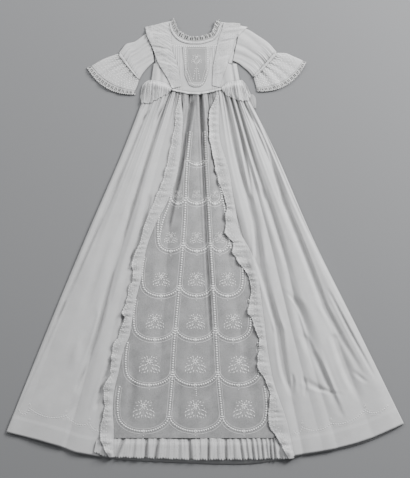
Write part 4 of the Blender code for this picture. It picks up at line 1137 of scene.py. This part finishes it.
def make_sleeves():
    """Sleeves, cuffs and the lace round each cuff."""
    def gathered_foot(along):
        return smooth((along - 0.45) / 0.55) ** 1.5

    def gathered_head(along):
        return smooth(1 - along / 0.6) ** 1.3

    sides = (
        ("left", -1, LEFT_SLEEVE, LEFT_SLEEVE_RAYS, LEFT_CUFF, LEFT_CUFF_RAYS, LEFT_CUFF_LACE),
        ("right", 1, RIGHT_SLEEVE, RIGHT_SLEEVE_RAYS, RIGHT_CUFF, RIGHT_CUFF_RAYS, RIGHT_CUFF_LACE),
    )
    for word, side, sleeve, sleeve_rays, cuff, cuff_rays, lace in sides:
        piece = make_tube("sleeve_" + word, sleeve, sleeve_rays, side, 50, 90, gathered_foot, 9.0,
                          "plain")
        piece = make_tube("cuff_" + word, cuff, cuff_rays, side, 44, 100, gathered_head, 10.0,
                          "work")
        dots = Stitches()
        for i in range(CUFF_DOT_ROWS):
            for j in range(CUFF_DOT_COLUMNS):
                along, across = (i + 0.7) / 9.6, (j + 0.5 + 0.5 * (i % 2)) / 14.8
                x, down = ring_places(cuff, along, across, side)
                dots.dome(float(x), float(down), 1.7, 1.3, 40.0 * (j % 3), 0.7)
        work = dots.finish("cuff_whitework_" + word, "thread")
        make_cuff_lace(word, side, lace, cuff_rays)


def make_cuff_lace(word, side, lace, rays):
    """The lace edge of one cuff, under and upper half."""
    def across(u):
        return mix(0.01, 0.99, u)

    def sewn(u):
        return ring_places(lace, 0.0, across(u), side)

    def free(u):
        return ring_places(lace, 1.0, across(u), side)

    def under(u, v):
        return 0.7 + 0.3 * ripple(u, 8, 0.2) * v

    def upper(u, v):
        fold = ray_field(rays, 1.0, across(u)) * mix(0.9, 0.5, v)
        end = smooth(u / 0.05) * smooth((1 - u) / 0.05)
        return 2.0 + end * (1.6 - np.minimum(fold, 1.6)) + 0.9 * ripple(u, 9, 0.8) * v

    make_lace("cuff_lace_" + word + "_under", sewn, free, under, 14, 200, 16)
    make_lace("cuff_lace_" + word + "_upper", sewn, free, upper, 14, 300, 22)


# Bands
def laid_strip(name, x, down, own, reach, material, sewn=None):
    """A sheet over what is below it, close to it where its share from the sewn edge is small."""
    under = heights.read(x, down, reach)
    if sewn is not None:
        under = mix(heights.read(x, down, 1) - SEWN_SINK, under, smooth(sewn / SEWN_SHARE))
    return cloth(name, x, down, under + GAP + CLOTH + own, material)


def make_bands():
    """The neck casing and the sleeve bands."""
    v, u = np.linspace(0, 1, 8)[:, None], np.linspace(0.02, 0.98, 160)[None, :]
    sewn, free = neck_edges()
    (sewn_x, sewn_down), (free_x, free_down) = sewn(u), free(u)
    size = np.hypot(sewn_x - free_x, sewn_down - free_down)
    reach = mix(0.4, NECK_BAND_WIDTH, v)
    x = sewn_x + (sewn_x - free_x) / size * reach
    down = sewn_down + (sewn_down - free_down) / size * reach
    puff = 0.5 * np.sin(math.pi * v) + 0.25 * ripple(u, 40, 0.3)
    piece = laid_strip("neck_band", x, down, puff, 2, "work")
    for word, side, sleeve in (("left", -1, LEFT_SLEEVE), ("right", 1, RIGHT_SLEEVE)):
        v, u = np.linspace(0.965, 1.035, 8)[:, None], np.linspace(0.04, 0.96, 60)[None, :]
        x, down = ring_places(sleeve, v, u, side)
        puff = 0.6 * np.sin(math.pi * (v - 0.965) / 0.07) + 0.3 * ripple(u, 14, 0.5)
        piece = laid_strip("sleeve_band_" + word, x, down, puff, 2, "work")


def make_waistband():
    """The narrow band over the waist seam."""
    half = WAISTBAND_HALF
    v, u = np.linspace(-half, half, 8)[:, None], np.linspace(-118, 74, 190)[None, :]
    x, down = np.broadcast_arrays(u, line_down(WAIST_SEAM, u) + v)
    piece = laid_strip("waistband", x, down, 0.2 * np.cos(v / half * math.pi / 2), 2, "plain")


# Frills
def make_hem_frill():
    """The gathered frill under the front panel: flat pleats between deep gaps."""
    v, u = unit_grid(20, 540)
    x = mix(FRILL_LEFT, FRILL_RIGHT, u) + FRILL_SPREAD * (2 * u - 1) * v
    foot = line_down(FRILL_FOOT, x) - 1.6 + 1.6 * ripple(u, 17, 0.8) * v
    down = mix(FRONT_PANEL_FOOT + 0.6, foot, v)
    rise = FRILL_RISE * smooth(v / 0.35) + 2.2
    rise = rise + (0.8 * ripple(u, 33, 0.4) + 0.4 * ripple(u, 71, 1.4)) * smooth(1.15 - v)
    rise = rise + 1.6 * ripple(u, 15, 2.2) * v
    for slit in FRILL_SLITS:
        away = (x - mix(slit.top_x, slit.foot_x, v)) / slit.width
        rise = rise - slit.depth * smooth(v / 0.25 + 0.25) / (1 + np.abs(away) ** 3)
        rise = rise + 0.2 * slit.depth * v * np.exp(-((away - 2.4) ** 2))
    rise = np.maximum(rise, 0.2 + 0.1 * rise)
    out, along = cell_middles(v, u)
    keep = out < 0.95 + 0.05 * np.abs(np.sin(math.pi * along * FRILL_SCALLOPS))
    piece = cloth("hem_frill", x, down, FRILL_BASE + rise, "work", keep)


def make_robing(name, strips, waves, phase):
    """A long waved ruffle, sewn along one edge, with a scalloped free edge."""
    rows, cols = 430, 26
    share, f = unit_grid(rows, cols)
    top = strips[0].down - ROBING_HEAD
    down0 = np.linspace(top, strips[-1].down, rows)[:, None]
    downs = column(strips, "down")
    sewn = through(downs, column(strips, "sewn"), down0)
    free = through(downs, column(strips, "free"), down0)
    size = through(ROBING_DOWNS, waves, down0)
    head = smooth((down0 - top) / ROBING_HEAD_RUN)
    wave = ripple(share, ROBING_WAVES, phase) * (0.35 + 0.65 * ripple(share, 6.0, phase + 2))
    small = ripple(share, ROBING_SMALL_WAVES, phase + 1) * ripple(share, 11.0, phase + 3)
    scallop = np.abs(np.sin(math.pi * share * ROBING_SCALLOPS))
    edge = np.sign(free - sewn) * (1.4 * scallop + 0.8 * size * (wave - 0.6) + 0.9 * (small - 0.5))
    x = mix(sewn, mix(sewn, free, 0.35 + 0.65 * head), f) + edge * f ** 3 * head
    down = down0 + 0.9 * size * (ripple(share, ROBING_WAVES, phase + 1.3) - 0.5) * f ** 2
    lift = 1.1 * np.sin(math.pi * np.minimum(f * 1.2, 1.0)) * (0.6 + 0.7 * small)
    lift = lift + size * f ** 1.5 * (0.15 + wave)
    lift = lift + 0.8 * size * f * (1 - f) * ripple(share + 0.01 * f, 23.0, phase + 2)
    lift = lift + 0.8 * (small - 0.2) * f
    piece = laid_strip(name, x, down, np.maximum(lift, 0.0) * head, 4, "work", f)

    work = Stitches()
    for at, radius, pitch in ((0.92, 1.3, 5.2), (0.55, 1.2, 8.0)):
        k = int(at * (cols - 1))
        work.beads(x[STITCHED_ROWS, k], down[STITCHED_ROWS, k], pitch, radius * 1.25, radius, 0.6)
    k = int(0.75 * (cols - 1))
    for ring_x, ring_down, _ in zip(*spaced(x[STITCHED_ROWS, k], down[STITCHED_ROWS, k], 10.4)):
        work.ring(ring_x, ring_down, 1.5, 0.7, 0.6, 8)
    stitched = work.finish(name + "_whitework", "thread")


def make_waist_frill(name, table, turn):
    """A short gathered frill at the side of the waist, merging into the skirt's gathers."""
    v, u = unit_grid(26, 130)
    x, down = between(table, "top", "low", u, v)
    down = down + 3.0 * (ripple(u, 9, turn + 2) - 0.5) * v
    gathered = 0.1 + 0.9 * ripple(u, 6.5, turn) ** 1.5
    rise = 0.6 * at_share(table, "rise", u) * gathered * np.sin(math.pi * v ** 0.8)
    rise = rise + 1.2 * ripple(u, 17, turn + 1) * np.sin(math.pi * np.clip(v + 0.1, 0, 1))
    sewn = np.minimum(1 - v, v) + 1.2 * smooth((u - 0.75) / 0.2)
    piece = laid_strip(name, x, down, rise, 3, "work", sewn)


def make_bretelle(name, table, turn, stand):
    """A wide shoulder frill, sewn at its inner edge, whose outer edge stands off or lies down."""
    u, f = unit_grid(120, 46)
    x, down = between(table, "inner", "outer", u, f)
    side = np.sign(at_share(table, "outer_x", u) - at_share(table, "inner_x", u))
    x = x + side * 0.9 * np.abs(np.sin(math.pi * u * BRETELLE_SCALLOPS)) * f ** 8
    wave = ripple(u + 0.12 * f, 4.0, turn)
    low = smooth((1 - u) / 0.3)
    arch = np.sin(mix(1.0, 0.8, stand) * math.pi * f)
    rise = at_share(table, "rise", u) * arch * (0.3 + 0.8 * wave)
    fine = 0.6 * ripple(u, 11, turn) * f * stand + 0.6 * ripple(u + 0.3 * f, 17, turn + 2) * (1 - f)
    sewn = np.minimum(f, 1 - f * (1 - stand)) * low
    piece = laid_strip(name, x, down, (rise + fine * low) * low, 3, "work", sewn)


# Needlework
def arc_path(left, right, down, depth):
    """A hanging arc between two lines."""
    t = np.linspace(-1, 1, 41)
    x = (left + right) / 2 + (right - left) / 2 * t
    return x, down - depth * (1 - np.sqrt(np.clip(1 - t * t, 0, 1)))


def add_sprig(work, x, down, size):
    """A flower with an eyelet, over leaves on curved stems."""
    eye = down - 0.12 * size
    work.ring(x, eye, 0.13 * size, 0.05 * size, rise=0.8, sides=10)
    for k in range(PETALS):
        angle = TAU * (k + 0.5) / PETALS
        petal_x, petal_down = x + 0.25 * size * math.cos(angle), eye + 0.25 * size * math.sin(angle)
        work.dome(petal_x, petal_down, 0.085 * size, 0.05 * size, math.degrees(angle), 0.7)
    for leaf in SPRIG:
        for side in (-1, 1):
            leaf_x, leaf_down = x + side * leaf.x * size, down + leaf.down * size
            work.dome(leaf_x, leaf_down, leaf.length * size, leaf.width * size, side * leaf.turn, 0.6)
    t = np.linspace(0, 1, 8)
    for side in (-1, 1):
        work.cord(x + side * size * 0.9 * t, eye + size * (0.2 + 0.55 * t ** 0.6), 0.5, 0.3)
        work.cord(x + side * size * 0.7 * np.sin(2.2 * t), eye - size * (0.1 + 0.35 * t), 0.5, 0.3)
    work.cord(x + 0 * t, eye + size * (0.2 + 0.85 * t), 0.6, 0.35)


def lined_beads(work, lines, x, down, bead, offsets, line):
    """Beads along a path, with a stitched line on each side of them."""
    work.beads(x, down, *bead)
    for offset in offsets:
        lines.cord(*beside(x, down, offset), *line)


def make_panel_work():
    """The whitework all over the front panel: rows of scallops like scales, with a sprig in each."""
    work, lines = Stitches(), Stitches()
    tops = [arc.down - arc.depth for arc in PANEL_ARCS]
    for row, (at, arc) in enumerate(zip(tops, PANEL_ARCS)):
        top = tops[row - 1] if row else at - FIRST_ROW
        edges = [float(line_x(line, at)) for line in PANEL_LINES]
        for k in (1, 2):
            down = np.linspace(top, at, 40)
            x = line_x(PANEL_LINES[k], down)
            lined_beads(work, lines, x, down, PANEL_BEADS, (-5.6, 5.6), PANEL_CORD)
        for k in range(3):
            if row < 1 and k != 1:
                continue
            left, right = edges[k], edges[k + 1]
            x, down = arc_path(left, right, arc.down, arc.depth)
            if k != 1:
                x, down = add_outer_side(x, down, 1 if k else -1, at, mix(at, top, 0.62))
            lined_beads(work, lines, x, down, PANEL_BEADS, (6.4, -5.2), PANEL_CORD)
            middle = (left + right) / 2
            work.ring(middle, arc.down, 2.6, 1.1, rise=0.8)
            work.dome(middle, arc.down + 9.5, 1.2, 1.2)
            if arc.sprig:
                add_sprig(work, middle, arc.down - arc.depth * 0.5 - arc.sprig * 1.35, arc.sprig)
        for k in (1, 2):
            for place in (-3.6, 3.6):
                work.dome(edges[k] + place, at + 4.0, 1.3, 1.1)
    for k, foot in ((0, 500.0), (3, 520.0)):
        down = np.linspace(PANEL_LINES[k][0].down, foot, 60)
        work.beads(line_x(PANEL_LINES[k], down), down, *PANEL_BEADS)
    for k in range(5):
        work.dome(-20.0, PANEL_ARCS[-2].down + 6 + 4.4 * k, 1.5, 1.3)
    return work.finish("panel_whitework", "thread"), lines.finish("panel_lines", "line")


def add_outer_side(x, down, side, at, top):
    """An arc carried on up the outer side of its scallop."""
    t = np.linspace(0, 1, 16)[1:]
    start = x[-1] if side > 0 else x[0]
    rise_x = start + side * 1.5 * np.sin(math.pi * t) - side * 4.0 * t * t
    rise_down = mix(at, top, t)
    if side > 0:
        return np.concatenate([x, rise_x]), np.concatenate([down, rise_down])
    return np.concatenate([rise_x[::-1], x]), np.concatenate([rise_down[::-1], down])


def make_hem_work(word, crowns):
    """Beads in festoons between crowns, with a thin line on each side, over a side hem's band."""
    work = Stitches()
    for one, other in zip(crowns, crowns[1:]):
        t = np.linspace(0, 1, 30)
        x = mix(one.x, other.x, t)
        down = mix(one.down, other.down, t) + FESTOON_SAG * 4 * t * (1 - t)
        lined_beads(work, work, x, down, HEM_BEADS, (-4.4, 4.4), HEM_CORD)
    for crown in crowns[1:-1]:
        work.ring(crown.x, crown.down - 9, 1.9, 0.8, 0.7)
        work.dome(crown.x, crown.down - 14, 1.1, 1.0)
    return work.finish("hem_whitework_" + word, "thread")


# Camera, lights and floor
def make_stage():
    """The camera over the gown, soft studio lights and a plain pale floor."""
    camera_data = bpy.data.cameras.new("camera")
    camera_data.sensor_width = SENSOR
    camera_data.lens = SENSOR * CAMERA_HEIGHT / (PHOTO_LONG_SIDE * PIXEL * MM)
    camera_data.clip_end = 20.0
    camera = bpy.data.objects.new("camera", camera_data)
    camera.location = (CAMERA_X, CAMERA_Y, CAMERA_HEIGHT)
    bpy.context.scene.collection.objects.link(camera)
    bpy.context.scene.camera = camera

    bpy.ops.mesh.primitive_plane_add(size=FLOOR_SIZE, location=(0, 0, -FLOOR_GAP))
    floor = bpy.context.object
    floor.name = "floor"
    material, tree, shader = new_material("floor_paper", FLOOR_COLOUR, 0.9, 0.0)
    coords = tree.nodes.new("ShaderNodeTexCoord").outputs["Object"]
    relief(tree, shader, noise_node(tree, coords, 300.0, 2.0), 0.05, 0.0003)
    floor.data.materials.append(material)

    for name, place, size, power in LIGHTS:
        light_data = bpy.data.lights.new(name, "AREA")
        light_data.size = size
        light_data.energy = power
        light = bpy.data.objects.new(name, light_data)
        light.location = place
        light.rotation_euler = (-Vector(place)).to_track_quat("-Z", "Y").to_euler()
        bpy.context.scene.collection.objects.link(light)
    world = bpy.data.worlds.new("studio")
    world.use_nodes = True
    background = world.node_tree.nodes["Background"]
    background.inputs["Color"].default_value = (*SKY_COLOUR, 1.0)
    background.inputs["Strength"].default_value = SKY_STRENGTH
    bpy.context.scene.world = world


make_stage()
make_back()
make_neck_lace()
make_sleeves()
make_bodice()
left_side = make_skirt_panel(
    "skirt_side_left", LEFT_SIDE, LEFT_FOLDS, LEFT_HEM, rows=210, cols=104,
    count=17.0, turn=0.6, longest=85.0, material="plain",
)
right_side = make_skirt_panel(
    "skirt_side_right", RIGHT_SIDE, RIGHT_FOLDS, RIGHT_HEM, rows=210, cols=122,
    count=19.0, turn=1.7, longest=85.0, material="plain",
)
front_panel = make_skirt_panel(
    "skirt_front_panel", FRONT_PANEL, PANEL_FOLDS, PANEL_HEM, rows=210, cols=164,
    count=15.0, turn=2.9, longest=32.0, material="panel", lowest=FRONT_PANEL_FOOT,
)
panel_work = make_panel_work()
hem_work_left = make_hem_work("left", LEFT_CROWNS)
hem_work_right = make_hem_work("right", RIGHT_CROWNS)
inset = make_inset()
inset_work = make_inset_work()
make_bands()
make_waistband()
make_hem_frill()
make_waist_frill("waist_frill_left", LEFT_WAIST_FRILL, 0.4)
make_waist_frill("waist_frill_right", RIGHT_WAIST_FRILL, 1.5)
make_robing("robing_left", LEFT_ROBING, LEFT_WAVES, 0.0)
make_robing("robing_right", RIGHT_ROBING, RIGHT_WAVES, 0.4)
make_bretelle("bretelle_left", LEFT_BRETELLE, 0.8, 1.0)
make_bretelle("bretelle_right", RIGHT_BRETELLE, 2.0, 0.0)
